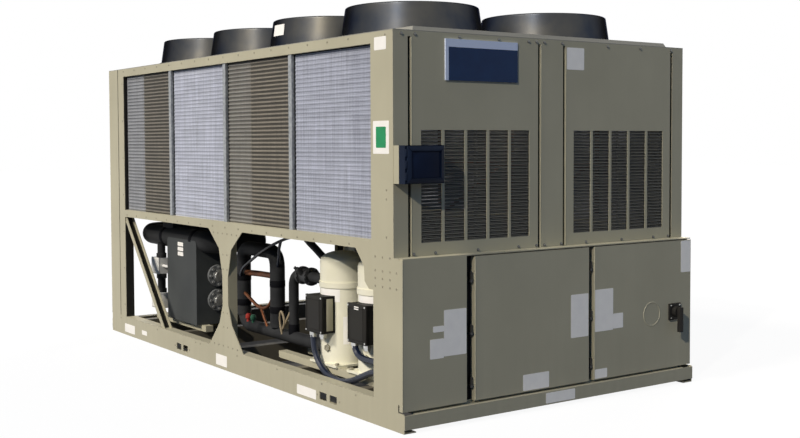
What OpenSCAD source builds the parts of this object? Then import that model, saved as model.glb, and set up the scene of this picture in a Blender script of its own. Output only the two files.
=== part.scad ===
// Air cooled water chiller: a packaged outdoor machine on a steel base.
// Millimetres. +X is the control end, -Y the long side with open bays, +Z up.
// The origin is the middle of the footprint, on the ground.

/* [Overall] */
// Length of the base over its end rails
unit_l = 4250; // [4150:10:4400]
// Width over the long base rails
unit_w = 2300; // [2240:10:2380]
// Height of the top rails above the ground
deck_z = 2168; // [2120:4:2240]

/* [Base] */
// Height of the long base rails
base_h = 150; // [140:2:160]
// Top of the end rails above the ground
end_rail_top = 100; // [92:1:104]
// Gap under the end rails
end_rail_lift = 22; // [15:1:30]
// Depth of the base rail flanges
rail_flange = 80; // [70:1:90]
// Thickness of the formed steel
steel_t = 6; // [5:0.5:8]
// Width of a lifting pocket in the long rails
pocket_w = 80; // [60:1:100]
// Height of a lifting pocket
pocket_h = 46; // [36:1:56]
// Height of the pocket centres
pocket_z = 55; // [50:1:64]
// Distance between the two pockets of a pair
pocket_pitch = 115; // [108:1:140]
// Rear pocket pair from the rear end of the base
pocket_rear_in = 1404; // [1340:1:1460]
// Front pocket pair from the control end of the base
pocket_front_in = 783; // [730:1:840]
// Anchor holes from the ends of the base
anchor_in = 175; // [150:1:220]
// Radius of an anchor hole
anchor_r = 10; // [7:0.5:13]
// Width of a base cross member
cross_w = 70; // [50:1:90]
// Height of the rails that carry the machinery
bearer_h = 45; // [35:1:50]
// Width of the rails that carry the machinery
bearer_w = 60; // [45:1:75]

/* [Frame] */
// Width of a front corner post on the long side
front_post_w = 216; // [200:1:230]
// Width of the stile beside the rear bay
stile_w = 115; // [105:1:125]
// Lower edge of the middle rails
mid_rail_z = 970; // [960:1:985]
// Height of the middle rails
mid_rail_h = 57; // [50:1:65]
// Height of the long top rails
top_rail_h = 60; // [54:1:70]
// Depth of the frame members behind the outer face
frame_d = 70; // [62:1:78]
// Upper end face behind the end of the base
upper_setback = 99; // [90:1:110]
// Width of a rear corner post on the long side
rear_post_w = 188; // [170:1:195]
// Groove between rear corner post and rear stile
rear_groove = 12; // [8:1:18]
// Width of the corner posts on the end faces
end_post_w = 98; // [90:1:110]
// Grooves beside the end panels
end_groove = 20; // [14:1:26]
// Width of the posts between the end panels
centre_post_w = 180; // [160:1:200]
// Height of the rail over the end panels
end_top_h = 31; // [26:1:36]
// Width of the middle post at its waist
waist_w = 84; // [70:1:100]
// Width of the middle post at its head and foot
flare_w = 512; // [460:2:560]
// Width of the middle post at its shoulders
shoulder_w = 186; // [160:1:220]
// Width of the flanges of the diagonal rear brace
brace_w = 38; // [30:1:46]
// Depth of the diagonal rear brace
brace_d = 62; // [50:1:70]
// Height of the lower edge of the front post plates
gusset_z = 750; // [730:1:770]

/* [Coils and end panels] */
// Coil faces behind the outer face
coil_recess = 28; // [20:1:34]
// Thickness of a coil
coil_t = 60; // [50:1:70]
// Width of a divider between coils
divider_w = 40; // [32:1:48]
// Divider faces behind the outer face
divider_recess = 6; // [4:1:12]
// Depth of the end panels
panel_d = 24; // [20:1:30]
// Sheet of panels, doors and covers
sheet_t = 4; // [3:0.5:5]
// Lower edge of the grille above the ground
grille_z = 1012; // [1005:1:1040]
// Height of the grille
grille_h = 620; // [580:2:660]
// Width of one grille column
grille_col_w = 141; // [130:1:146]
// Width of the bars between grille columns
grille_bar_w = 20; // [15:1:22]
// Columns in a grille
grille_cols = 5; // [4:1:5]
// Distance between louvre blades
blade_pitch = 20; // [18:1:26]
// Thickness of a louvre blade
blade_t = 4; // [3:0.5:5]
// Width of the plain plate on the left end panel
plate_w = 526; // [460:2:580]
// Height of the plain plate
plate_h = 230; // [200:2:250]
// Thickness of the plain plate
plate_t = 8; // [5:1:12]

/* [Fans] */
// Distance between the two fan rows
fan_row_gap = 1080; // [1060:2:1100]
// Height of the raised pan under the fans
pan_h = 25; // [20:1:30]
// Edge of the pan behind the long sides
pan_inset = 140; // [120:1:150]
// Space between a shroud and the edge of its bay
shroud_gap = 17; // [16:0.5:26]
// Taper of a shroud from foot to top, on the radius
shroud_taper = 24; // [18:1:34]
// Height of a shroud over the pan
shroud_h = 184; // [170:1:200]
// Wall of a shroud
shroud_t = 8; // [6:0.5:9]
// Rim of a shroud on the pan, past its foot
shroud_rim = 15; // [10:1:16]
// Space between blade tips and shroud
tip_gap = 9; // [6:1:12]
// Radius of a fan hub
hub_r = 95; // [80:1:110]
// Blades of a fan
fan_blades = 5; // [4:1:6]

/* [Control cabinet] */
// Back of the cabinet behind the end of the base
cab_back = 297; // [285:1:310]
// Door faces behind the end of the base
door_setback = 21; // [18:1:30]
// Top of the cabinet above the ground
cab_top = 940; // [930:1:950]
// Lower edge of the doors above the ground
door_z = 115; // [111:1:120]
// Depth of doors and cover
door_t = 28; // [24:1:32]
// Space between closed doors and the cabinet
door_gap = 6; // [5.5:0.5:8]
// Width of the fixed cover at the left
cover_w = 441; // [420:1:460]
// Gap between fixed cover and middle door
gap_left = 58; // [54:1:64]
// Gap between the two doors
gap_right = 44; // [42:1:50]
// Width of the right door
right_door_w = 872; // [850:2:890]
// Radius of a hinge pin
pin_r = 5; // [4:0.5:6]
// Radial clearance of a hinge or shaft in its bore
run_gap = 0.06; // [0.03:0.01:0.1]
// Radius of a hinge barrel
barrel_r = 9; // [8:0.5:10]
// Length of a hinge barrel
barrel_l = 40; // [30:1:50]
// Width of the square plate behind the handle
escutcheon_w = 104; // [90:1:120]
// Centre of the handle from the right edge of the door
handle_y = 158; // [145:1:180]
// Height of the handle above the ground
handle_z = 474; // [450:1:500]
// Reach of the handle from the door face
handle_out = 66; // [60:1:72]
// Length of the handle lever under its axis
lever_l = 128; // [110:1:135]
// Width of the handle lever
lever_w = 30; // [24:1:36]

/* [Display] */
// Width of the display box
display_w = 262; // [240:1:280]
// Height of the display box
display_h = 206; // [190:1:220]
// Depth of the display box
display_d = 56; // [48:1:60]
// Lower edge of the display box above the ground
display_z = 1342; // [1320:1:1360]
// Stand-off of the display box from the end face
display_off = 50; // [40:1:56]

/* [Machinery] */
// Radius of a compressor shell
comp_r = 146; // [130:1:156]
// Height of a compressor over its rails
comp_h = 700; // [660:2:720]
// Seam of the compressor shell over its rails
comp_seam = 478; // [450:1:500]
// Compressor centre line behind the long side
comp_y = 290; // [280:1:310]
// Front compressor centre behind the back of the cabinet
comp_front = 336; // [310:1:360]
// Distance between compressors of a pair
comp_pitch = 430; // [410:1:450]
// Width of a terminal box
term_w = 190; // [170:1:210]
// Height of a terminal box
term_h = 228; // [210:1:250]
// Front of the terminal boxes behind the long side
term_y = 82; // [75:1:95]
// Length of the evaporator
evap_l = 531; // [500:1:560]
// Depth of the evaporator
evap_d = 330; // [300:1:360]
// Height of the evaporator over its rails
evap_h = 636; // [600:1:660]
// Front of the evaporator behind the long side
evap_y = 150; // [140:1:170]
// Rear end of the evaporator from the rear bay's edge
evap_in = 494; // [480:1:520]
// Outer radius of the insulated water pipe
water_r = 84; // [72:1:92]
// Radius of a bolted end cap
cap_r = 81; // [70:1:86]
// Radius of the insulated suction pipes
suction_r = 42; // [36:1:48]
// Radius of the riser pipes to the compressors
riser_r = 34; // [30:1:38]
// Radius of the discharge pipes
discharge_r = 24; // [20:1:28]
// Radius of a power conduit
conduit_r = 20; // [16:1:22]
// Radius of the copper headers
header_r = 17; // [14:1:20]

/* [Hidden] */
// Each node of the assembly
// Facets of round work
$fn = 64;
// Overlap used only where two pieces of one solid are joined or a cut runs past a face
lap = 1;
// Gap left where a round piece lies against another piece
seat = 0.3;
// Colours
paint = [0.72, 0.69, 0.58];
dark_paint = [0.45, 0.43, 0.37];
fin = [0.66, 0.67, 0.71];
black = [0.08, 0.08, 0.09];
copper = [0.60, 0.33, 0.20];
cream = [0.80, 0.78, 0.67];
navy = [0.07, 0.10, 0.25];
grey = [0.28, 0.29, 0.29];
pale = [0.82, 0.82, 0.80];

// Main planes. The handle reaches past the base, so the base sits back by half of that
cx = -(handle_out - door_setback) / 2;
x_front = cx + unit_l / 2;
x_rear = cx - unit_l / 2;
y_out = unit_w / 2;
x_face = x_front - upper_setback;
bays = 4;
x_coil0 = x_rear + rear_post_w + rear_groove + stile_w;
x_coil1 = x_face - front_post_w;
bay_pitch = (x_coil1 - x_coil0) / bays;
x_mid = (x_coil0 + x_coil1) / 2;
mid_top = mid_rail_z + mid_rail_h;
top_z0 = deck_z - top_rail_h;
end_top_z0 = deck_z - end_top_h;
y_frame = y_out - frame_d;

// Control cabinet planes
x_door = x_front - door_setback;
x_door_back = x_door - door_t;
x_cab_front = x_door_back - door_gap;
x_cab_back = x_front - cab_back;
cab_roof_t = steel_t;
door_top = cab_top - cab_roof_t - door_gap;
notch_gap = 6;
rail_notch_z = end_rail_top + notch_gap;
rail_notch_x = x_cab_front - notch_gap;
mullion_w = 72;
mullion_d = 40;
y_mid0 = -y_out + cover_w + gap_left;
y_right0 = y_out - right_door_w;
y_mid1 = y_right0 - gap_right;
// Hinge axes
hinge_back = 12;
hinge_side = 17;
x_hinge = x_door - hinge_back;
y_hinge_mid = y_mid0 - hinge_side;
y_hinge_right = y_right0 - hinge_side;
hinge_end = 110;
hinge_zs = [door_z + hinge_end, (door_z + door_top) / 2, door_top - hinge_end];
hinge_block_h = 16;
hinge_block_front = 6;
hinge_strap_t = 6;
hinge_gap = 0.4;
pin_over = 6;
// Handle
y_handle = y_out - handle_y;
escutcheon_t = 12;
shaft_r = 8;
shaft_in = 9;
knob_r = 34;
knob_t = 30;
knob_gap = 0.5;
lever_t = 24;
lever_up = 30;

// Middle post profile heights
shoulder_top_z = mid_rail_z - 130;
waist_top_z = mid_rail_z - 320;
waist_low_z = base_h + 300;
shoulder_low_z = base_h + 170;

// Diagonal brace: where the foot of its lower edge lies along half of the bays, and its cut-off length
brace_part = 0.388;
brace_drop = 48;
brace_over = 250;
brace_back = 8;

// Front post gusset profile, behind the upper end face
gusset_x = [377, 290, 285, 241];
gusset_dz = [98, 180];

// End panels
panel_y0 = centre_post_w / 2 + end_groove;
panel_y1 = y_out - end_post_w - end_groove;
grille_w = grille_cols * grille_col_w + (grille_cols - 1) * grille_bar_w;
grille_mid_y = (panel_y0 + panel_y1) / 2;
grille_over = 14;
louvre_gap = 2;
blade_rise = 12;
blade_d = 15;
blade_n = floor(grille_h / blade_pitch);
louvre_stile_w = 18;
plate_in = 231;
rear_panel_z0 = mid_rail_z;
rear_mid_d = 40;

// Fans
deck_sheet = 4;
pan_z = deck_z + deck_sheet + pan_h;
pan_end_inset = 14;
pan_slope = 14;
shroud_z1 = pan_z + shroud_h;
shroud_foot_r = bay_pitch / 2 - shroud_gap;
shroud_top_r = shroud_foot_r - shroud_taper;
lip_r = 12;
rim_t = 8;
fan_hole_r = shroud_top_r - shroud_t;
blade_tip_r = shroud_top_r - shroud_t - tip_gap;
fan_xs = [for (i = [0 : bays - 1]) x_coil0 + (i + 0.5) * bay_pitch];
motor_r = 84;
motor_h = 190;
motor_z1 = pan_z + 6;
arm_w = 34;
arm_h = 24;
arm_reach = fan_hole_r + 30;
hub_h = 62;
blade_w = 190;
vane_t = 6;
blade_tilt = 24;
guard_z = shroud_z1 - 22;
guard_t = 5;
guard_w = 5;
guard_rings = 7;
guard_hub_r = 60;
guard_gap = 0.2;

// Display
display_plate_t = 4;
display_y0 = -y_out + 2;

// Machinery
bearer_top = base_h + bearer_h;
comp_base_w = 2 * comp_r + 18;
comp_base_t = 14;
comp_band = 6;
comp_band_h = 34;
comp_dome = 60;
comp_foot_r = 20;
stub_r = 24;
y_comp = -y_out + comp_y;
comp_xs = [x_front - cab_back - comp_front - comp_pitch, x_front - cab_back - comp_front];
bearer_half = 110;
cross_out = unit_l * 3 / 8;
cross_in = unit_l / 5;
cross_xs = [cx - cross_out, cx - cross_in, cx, cx + cross_in, cx + cross_out];
bearer_over = 335;
bearer_gap = 88;
bearer_x0 = cross_xs[3] - cross_w / 2 - bearer_over;
bearer_x1 = x_front - cab_back - bearer_gap;
cross_lift = 20;
term_z = 400;
term_dx = [-8, 46];
term_back = 60;
conduit_gap = 6;
x_evap0 = x_coil0 + evap_in;
x_evap1 = x_evap0 + evap_l;
y_evap0 = -y_out + evap_y;
y_evap1 = y_evap0 + evap_d;
evap_round = 30;
evap_z1 = bearer_top + evap_h;
evap_bearer_in = 70;
water_y = y_evap0 + water_r + 2;
water_sink = 6;
water_z = evap_z1 - water_sink;
water_past = 80;
water_x0 = x_coil0 - water_past;
water_bend = 110;
water_out = 4;
water_x1 = x_evap1 + water_bend + water_out;
water_back_y = 100;
water_end_y = water_y + 400;
cap_t = 26;
cap_lug = 12;
cap_in = 160;
cap_y = y_evap0 + cap_in;
cap_zs = [567, 382];
cap_stub_r = 57;
cap_stub_l = 24;
suction_in = 300;
suction_y = -y_out + suction_in;
suction_bend = 110;
suction_left = 305;
suction_x0 = x_mid - suction_left;
suction_right = 195;
suction_x1 = x_mid + suction_right;
suction_top = 815;
suction_low = bearer_top + comp_base_t + suction_r + 8;
riser_right = 420;
riser_x = x_mid + riser_right;
riser_bend = 80;
riser_z = bearer_top + comp_seam + comp_band_h / 2;
discharge_z = bearer_top + comp_h - comp_dome - discharge_r - 4;
discharge_out = 60;
discharge_run = 293;
discharge_rise = 143;
discharge_bend = 40;
cable_sides = 10;
cable_steps = 3;
junction_w = 136;
junction_d = 72;
junction_h = 128;
junction_z = 518;
junction_gap = 188;
junction_stub_r = 12;
branch_r = 12;
header_z0 = mid_top + 40;
header_z1 = top_z0 - 40;
manifold_z = 1400;
manifold_in = 200;
branch_y = 330;
branch_in = 260;
floor_z = mid_rail_z + 28;
floor_t = 5;

// A block from one corner to the opposite one
module slab(x0, x1, y0, y1, z0, z1) {
  translate([x0, y0, z0])
    cube([x1 - x0, y1 - y0, z1 - z0]);
}

// A plate drawn as (x, z) points, from y0 to y1
module xz_plate(points, y0, y1) {
  translate([0, y1, 0])
    rotate([90, 0, 0])
      linear_extrude(height = y1 - y0)
        polygon(points);
}

// The same piece on the long side and on the opposite one
module both_sides() {
  children();
  mirror([0, 1, 0])
    children();
}

function unit_v(v) = v / norm(v);
function turn(u, v) = acos(max(-1, min(1, u * v)));

// A round bar from point a to point b
module bar(a, b, r) {
  d = unit_v(b - a);
  translate(a)
    rotate([0, acos(d[2]), atan2(d[1], d[0])])
      cylinder(h = norm(b - a), r = r);
}

// A bend that comes in along u and leaves along v at the corner p
module elbow(p, u, v, r, bend) {
  a = turn(u, v);
  w = unit_v(v - u * (u * v));
  c = p - u * (bend * tan(a / 2)) + w * bend;
  n = cross(-w, u);
  multmatrix([[-w[0], u[0], n[0], c[0]],
              [-w[1], u[1], n[1], c[1]],
              [-w[2], u[2], n[2], c[2]],
              [0, 0, 0, 1]])
    rotate_extrude(angle = a)
      translate([bend, 0])
        circle(r = r);
}

// A round pipe along points, with bends at the corners
module pipe(points, r, bend) {
  n = len(points);
  dirs = [for (i = [0 : n - 2]) unit_v(points[i + 1] - points[i])];
  cut = [for (i = [0 : n - 1])
         (i == 0 || i == n - 1) ? 0 : bend * tan(turn(dirs[i - 1], dirs[i]) / 2)];
  for (i = [0 : n - 2])
    bar(points[i] + dirs[i] * cut[i], points[i + 1] - dirs[i] * cut[i + 1], r);
  if (n > 2)
    for (i = [1 : n - 2])
      elbow(points[i], dirs[i - 1], dirs[i], r, bend);
}

// Point at part t between b and c on a smooth curve past a, b, c and d
function curve(a, b, c, d, t) =
  0.5 * (2 * b + (c - a) * t + (2 * a - 5 * b + 4 * c - d) * t * t + (3 * b - a - 3 * c + d) * t * t * t);
function route(p) =
  concat([for (i = [0 : len(p) - 2], k = [0 : cable_steps - 1])
          curve(p[max(i - 1, 0)], p[i], p[i + 1], p[min(i + 2, len(p) - 1)], k / cable_steps)],
         [p[len(p) - 1]]);

// A smooth round cable or tube of radius r past points, closed at both ends
module cable(points, r) {
  p = route(points);
  n = len(p);
  m = cable_sides;
  last = len(points) - 1;
  dirs = [for (i = [0 : n - 1]) unit_v(i == 0 ? points[1] - points[0]
                                       : i == n - 1 ? points[last] - points[last - 1]
                                       : p[i + 1] - p[i - 1])];
  rings = [for (i = [0 : n - 1], j = [0 : m - 1])
           let (u = unit_v(cross(dirs[i], [0, 1, 0])), v = cross(dirs[i], u), a = 360 * j / m)
           p[i] + r * (cos(a) * u + sin(a) * v)];
  sides = [for (i = [0 : n - 2], j = [0 : m - 1], h = [0, 1])
           h == 0 ? [i * m + j, (i + 1) * m + j, i * m + (j + 1) % m]
                  : [i * m + (j + 1) % m, (i + 1) * m + j, (i + 1) * m + (j + 1) % m]];
  ends = [[for (j = [0 : m - 1]) j], [for (j = [m - 1 : -1 : 0]) (n - 1) * m + j]];
  polyhedron(points = rings, faces = concat(sides, ends));
}

// Long base rails: channels open to the inside, with lifting pockets and anchor holes
module base_side_rails() {
  color(paint)
    both_sides()
      difference() {
        slab(x_rear + steel_t, x_front - steel_t, -y_out, -y_out + rail_flange, 0, base_h);
        slab(x_rear, x_front, -y_out + steel_t, -y_out + rail_flange + lap,
             steel_t, base_h - steel_t);
        slab(rail_notch_x, x_front, -y_out - lap, -y_out + rail_flange + lap,
             rail_notch_z, base_h + lap);
        for (px = [x_rear + pocket_rear_in, x_front - pocket_front_in], s = [-1, 1])
          translate([px + s * pocket_pitch / 2, -y_out, pocket_z])
            cube([pocket_w, steel_t * 4, pocket_h], center = true);
        for (s = [-1, 1])
          translate([cx + s * (unit_l / 2 - anchor_in), -y_out + rail_flange / 2, -lap])
            cylinder(h = steel_t + 2 * lap, r = anchor_r);
      }
}

// End base rails: a web over the ends of the long rails and two flanges between them
module base_end_rails() {
  fl = y_out - rail_flange - seat;
  color(paint)
    for (e = [0, 1])
      translate([e == 0 ? x_front : x_rear, 0, 0])
        mirror([e, 0, 0]) {
          slab(-steel_t, 0, -y_out, y_out, end_rail_lift, end_rail_top);
          slab(-rail_flange, -steel_t + lap, -fl, fl, end_rail_top - steel_t, end_rail_top);
          slab(-rail_flange, -steel_t + lap, -fl, fl, end_rail_lift, end_rail_lift + steel_t);
        }
}

// Beams across the base, between the flanges of the long rails
module base_cross_members() {
  color(dark_paint)
    for (x = cross_xs)
      slab(x - cross_w / 2, x + cross_w / 2, -y_out + rail_flange, y_out - rail_flange,
           cross_lift, base_h);
}

// Rails along the base that carry the compressors and the evaporator
module machine_rails() {
  color(paint) {
    both_sides()
      for (s = [-1, 1])
        slab(bearer_x0, bearer_x1, y_comp + s * bearer_half - bearer_w / 2,
             y_comp + s * bearer_half + bearer_w / 2, base_h, bearer_top);
    for (y = [y_evap0 + evap_bearer_in, y_evap1 - evap_bearer_in])
      slab(cross_xs[0] - cross_w / 2, x_evap1 + evap_bearer_in, y - bearer_w / 2,
           y + bearer_w / 2, base_h, bearer_top);
  }
}

// Rear corner posts, and the stiles beside the rear bay
module rear_posts() {
  color(paint)
    both_sides() {
      slab(x_rear, x_rear + rear_post_w, -y_out, -y_out + steel_t, base_h, deck_z);
      slab(x_rear, x_rear + steel_t, -y_out, -y_out + end_post_w, base_h, deck_z);
      slab(x_rear + rear_post_w + rear_groove, x_coil0, -y_out, -y_frame, base_h, top_z0);
    }
}

// Middle posts: a plate with a narrow waist and a post behind it
module middle_posts() {
  half = [[flare_w / 2, base_h], [shoulder_w / 2, shoulder_low_z], [waist_w / 2, waist_low_z],
          [waist_w / 2, waist_top_z], [shoulder_w / 2, shoulder_top_z], [flare_w / 2, mid_rail_z]];
  outline = concat([for (p = half) [x_mid + p[0], p[1]]],
                   [for (i = [len(half) - 1 : -1 : 0]) [x_mid - half[i][0], half[i][1]]]);
  color(paint)
    both_sides() {
      xz_plate(outline, -y_out, -y_out + steel_t);
      slab(x_mid - waist_w / 2, x_mid + waist_w / 2, -y_out + steel_t - lap, -y_frame,
           base_h, mid_rail_z);
    }
}

// Front corner posts of the upper part, with the gusset beside the control cabinet
module front_posts() {
  outline = [[x_face, gusset_z], [x_face, top_z0], [x_coil1, top_z0], [x_coil1, mid_rail_z],
             [x_face - gusset_x[0], mid_rail_z],
             [x_face - gusset_x[1], mid_rail_z - gusset_dz[0]],
             [x_face - gusset_x[2], mid_rail_z - gusset_dz[1]],
             [x_face - gusset_x[3], gusset_z]];
  color(paint)
    both_sides() {
      xz_plate(outline, -y_out, -y_out + steel_t);
      slab(x_face - steel_t, x_face, -y_out, -y_out + end_post_w, cab_top, end_top_z0);
      slab(x_coil1, x_coil1 + frame_d, -y_out + steel_t - lap, -y_frame, cab_top, top_z0);
    }
}

// Diagonal braces of the rear bay: channels open to the upper side, cut to the opening
module rear_braces() {
  p0 = [x_coil0, mid_rail_z - brace_drop];
  p1 = [x_coil0 + brace_part * (x_mid - x_coil0), base_h];
  tilt = atan2(p1[1] - p0[1], p1[0] - p0[0]);
  length = norm(p1 - p0);
  color(paint)
    both_sides()
      intersection() {
        slab(x_coil0, x_mid - flare_w / 2, -y_out, y_frame, base_h, mid_rail_z);
        translate([p0[0], -y_out + brace_back, p0[1]])
          rotate([0, -tilt, 0])
            difference() {
              translate([-brace_over, 0, 0])
                cube([length + 2 * brace_over, brace_d, brace_w]);
              translate([-brace_over - lap, steel_t, steel_t])
                cube([length + 2 * brace_over + 2 * lap, brace_d - 2 * steel_t, brace_w]);
            }
      }
}

// Rails under the coils on both long sides, and across the rear end
module mid_rails() {
  color(paint) {
    both_sides()
      slab(x_coil0, x_coil1, -y_out, -y_frame, mid_rail_z, mid_top);
    slab(x_rear + panel_d, x_rear + panel_d + rear_mid_d, -y_out + steel_t, y_out - steel_t,
         mid_rail_z, mid_top);
  }
}

// Long top rails: channels open to the inside
module top_side_rails() {
  x0 = x_rear + rear_post_w + rear_groove;
  x1 = x_face - steel_t;
  color(paint)
    both_sides()
      difference() {
        slab(x0, x1, -y_out, -y_frame, top_z0, deck_z);
        slab(x0 - lap, x1 + lap, -y_out + steel_t, -y_frame + lap,
             top_z0 + steel_t, deck_z - steel_t);
      }
}

// Top rails over the end panels
module top_end_rails() {
  fl = y_frame - seat;
  yr = y_out - end_post_w;
  color(paint) {
    slab(x_face - steel_t, x_face, -y_out, y_out, end_top_z0, deck_z);
    slab(x_face - frame_d, x_face - steel_t + lap, -fl, fl, deck_z - steel_t, deck_z);
    slab(x_rear, x_rear + steel_t, -yr, yr, end_top_z0, deck_z);
    slab(x_rear + steel_t - lap, x_rear + frame_d, -yr, yr, deck_z - steel_t, deck_z);
  }
}

// One row of four coils between the dividers
module coil_row() {
  for (i = [0 : bays - 1])
    slab(x_coil0 + i * bay_pitch + (i == 0 ? 0 : divider_w / 2),
         x_coil0 + (i + 1) * bay_pitch - (i == bays - 1 ? 0 : divider_w / 2),
         -y_out + coil_recess, -y_out + coil_recess + coil_t, mid_top, top_z0);
}

// Coils of the long side
module coils_left() {
  color(fin)
    coil_row();
}

// Coils of the opposite side
module coils_right() {
  color(fin)
    mirror([0, 1, 0])
      coil_row();
}

// Strips between the coils
module coil_dividers() {
  color(pale)
    both_sides()
      for (i = [1 : bays - 1])
        slab(x_coil0 + i * bay_pitch - divider_w / 2, x_coil0 + i * bay_pitch + divider_w / 2,
             -y_out + divider_recess, -y_out + coil_recess + coil_t, mid_top, top_z0);
}

// Copper headers behind the coils, with a manifold and branches down to the floor
module coil_headers() {
  y_head = -y_out + coil_recess + coil_t + header_r + seat;
  y_man = -y_out + manifold_in;
  color(copper)
    both_sides() {
      bar([x_coil0 + branch_in, y_man, manifold_z], [x_coil1 - branch_in, y_man, manifold_z], header_r);
      for (x = fan_xs) {
        bar([x, y_head, header_z0], [x, y_head, header_z1], header_r);
        bar([x, y_head, manifold_z], [x, y_man + header_r / 2, manifold_z], branch_r);
        bar([x, y_man - header_r / 4, manifold_z], [x, -branch_y, floor_z + floor_t + branch_r], branch_r);
      }
    }
}

// Floor between the middle rails, under the air space
module plenum_floor() {
  color(paint)
    slab(x_coil0, x_coil1, -y_frame, y_frame, floor_z, floor_z + floor_t);
}

// One end panel: a sheet with folded edges and grille windows, facing +X at x = 0
module end_panel(z0) {
  difference() {
    slab(-panel_d, 0, panel_y0, panel_y1, z0, end_top_z0);
    slab(-panel_d - lap, -sheet_t, panel_y0 + sheet_t, panel_y1 - sheet_t,
         z0 + sheet_t, end_top_z0 - sheet_t);
    for (i = [0 : grille_cols - 1])
      slab(-panel_d, lap, grille_mid_y - grille_w / 2 + i * (grille_col_w + grille_bar_w),
           grille_mid_y - grille_w / 2 + i * (grille_col_w + grille_bar_w) + grille_col_w,
           grille_z, grille_z + grille_h);
  }
}

// One set of louvre blades behind the windows, held by upright strips, facing +X at x = 0
module louvre_set() {
  y0 = max(grille_mid_y - grille_w / 2 - grille_over, panel_y0 + sheet_t + louvre_gap);
  y1 = min(grille_mid_y + grille_w / 2 + grille_over, panel_y1 - sheet_t - louvre_gap);
  for (i = [0 : blade_n - 1])
    translate([-sheet_t, 0, grille_z + i * blade_pitch])
      xz_plate([[0, 0], [0, blade_t], [-blade_d, blade_rise + blade_t], [-blade_d, blade_rise]],
               y0, y1);
  for (y = [y0, grille_mid_y - louvre_stile_w / 2, y1 - louvre_stile_w])
    slab(-sheet_t - blade_d - sheet_t + lap, -sheet_t - blade_d + lap, y, y + louvre_stile_w,
         grille_z, grille_z + blade_n * blade_pitch);
}

// Upper panels of the control end
module front_panels() {
  color(paint)
    both_sides()
      translate([x_face, 0, 0])
        end_panel(cab_top);
}

// Louvre blades of the control end
module front_louvres() {
  color(dark_paint)
    both_sides()
      translate([x_face, 0, 0])
        louvre_set();
}

// Upper panels of the rear end
module rear_panels() {
  color(paint)
    both_sides()
      translate([x_rear, 0, 0])
        mirror([1, 0, 0])
          end_panel(rear_panel_z0);
}

// Louvre blades of the rear end, over the rear middle rail
module rear_louvres() {
  color(dark_paint)
    both_sides()
      translate([x_rear, 0, 0])
        mirror([1, 0, 0])
          louvre_set();
}

// Posts between the upper end panels
module centre_posts() {
  color(paint) {
    slab(x_face - panel_d, x_face, -centre_post_w / 2, centre_post_w / 2, cab_top, end_top_z0);
    slab(x_rear, x_rear + panel_d, -centre_post_w / 2, centre_post_w / 2, mid_rail_z, end_top_z0);
  }
}

// Plain plate at the top of the left front panel
module name_plate() {
  y0 = -panel_y1 + plate_in;
  color(navy)
    slab(x_face, x_face + plate_t, y0, y0 + plate_w, end_top_z0 - plate_h, end_top_z0);
}

// Deck over the frame, with a raised pan and a round opening under each fan
module fan_deck() {
  px0 = x_rear + pan_end_inset;
  px1 = x_face - pan_end_inset;
  py = y_out - pan_inset;
  color(paint)
    difference() {
      union() {
        slab(x_rear, x_face, -y_out, y_out, deck_z, deck_z + deck_sheet);
        intersection() {
          xz_plate([[px0, deck_z], [px1, deck_z], [px1 - pan_slope, pan_z], [px0 + pan_slope, pan_z]],
                   -py, py);
          translate([px0, 0, 0])
            rotate([90, 0, 90])
              linear_extrude(height = px1 - px0)
                polygon([[-py, deck_z], [py, deck_z], [py - pan_slope, pan_z], [-py + pan_slope, pan_z]]);
        }
      }
      for (x = fan_xs, s = [-1, 1])
        translate([x, s * fan_row_gap / 2, deck_z - lap])
          cylinder(h = pan_h + deck_sheet + 2 * lap, r = fan_hole_r);
    }
}

// One fan shroud: a tapered ring with a rim on the pan and a rounded lip
module shroud() {
  lip = [for (a = [0 : 22.5 : 90])
         [shroud_top_r - lip_r + lip_r * cos(a), shroud_h - lip_r + lip_r * sin(a)]];
  rotate_extrude()
    polygon(concat([[shroud_foot_r - shroud_t, 0], [shroud_foot_r + shroud_rim, 0],
                    [shroud_foot_r + shroud_rim, rim_t], [shroud_foot_r, rim_t]],
                   lip,
                   [[shroud_top_r - lip_r, shroud_h - shroud_t],
                    [shroud_top_r - shroud_t, shroud_h - lip_r]]));
}

// Shrouds of the row on the long side
module fan_shrouds_left() {
  color(black)
    for (x = fan_xs)
      translate([x, -fan_row_gap / 2, pan_z])
        shroud();
}

// Shrouds of the opposite row
module fan_shrouds_right() {
  color(black)
    for (x = fan_xs)
      translate([x, fan_row_gap / 2, pan_z])
        shroud();
}

// Fan wheels: a hub and tilted blades
module fan_rotors() {
  color(grey)
    for (x = fan_xs, s = [-1, 1])
      translate([x, s * fan_row_gap / 2, motor_z1]) {
        cylinder(h = hub_h, r = hub_r);
        intersection() {
          cylinder(h = shroud_h, r = blade_tip_r);
          for (i = [0 : fan_blades - 1])
            rotate([0, 0, i * 360 / fan_blades])
              translate([0, 0, hub_h / 2])
                rotate([blade_tilt, 0, 0])
                  translate([hub_r * 0.6, -blade_w / 2, -vane_t / 2])
                    cube([blade_tip_r, blade_w, vane_t]);
        }
      }
}

// Fan motors, each on three arms under the deck
module fan_motors() {
  color(grey)
    for (x = fan_xs, s = [-1, 1])
      translate([x, s * fan_row_gap / 2, 0]) {
        translate([0, 0, motor_z1 - motor_h])
          cylinder(h = motor_h, r = motor_r);
        for (i = [0 : 2])
          rotate([0, 0, 30 + i * 120])
            translate([0, -arm_w / 2, deck_z - arm_h])
              cube([arm_reach, arm_w, arm_h]);
      }
}

// Ring of a fan guard
module guard_ring(r) {
  difference() {
    cylinder(h = guard_t, r = r);
    translate([0, 0, -lap])
      cylinder(h = guard_t + 2 * lap, r = r - guard_w);
  }
}

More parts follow.
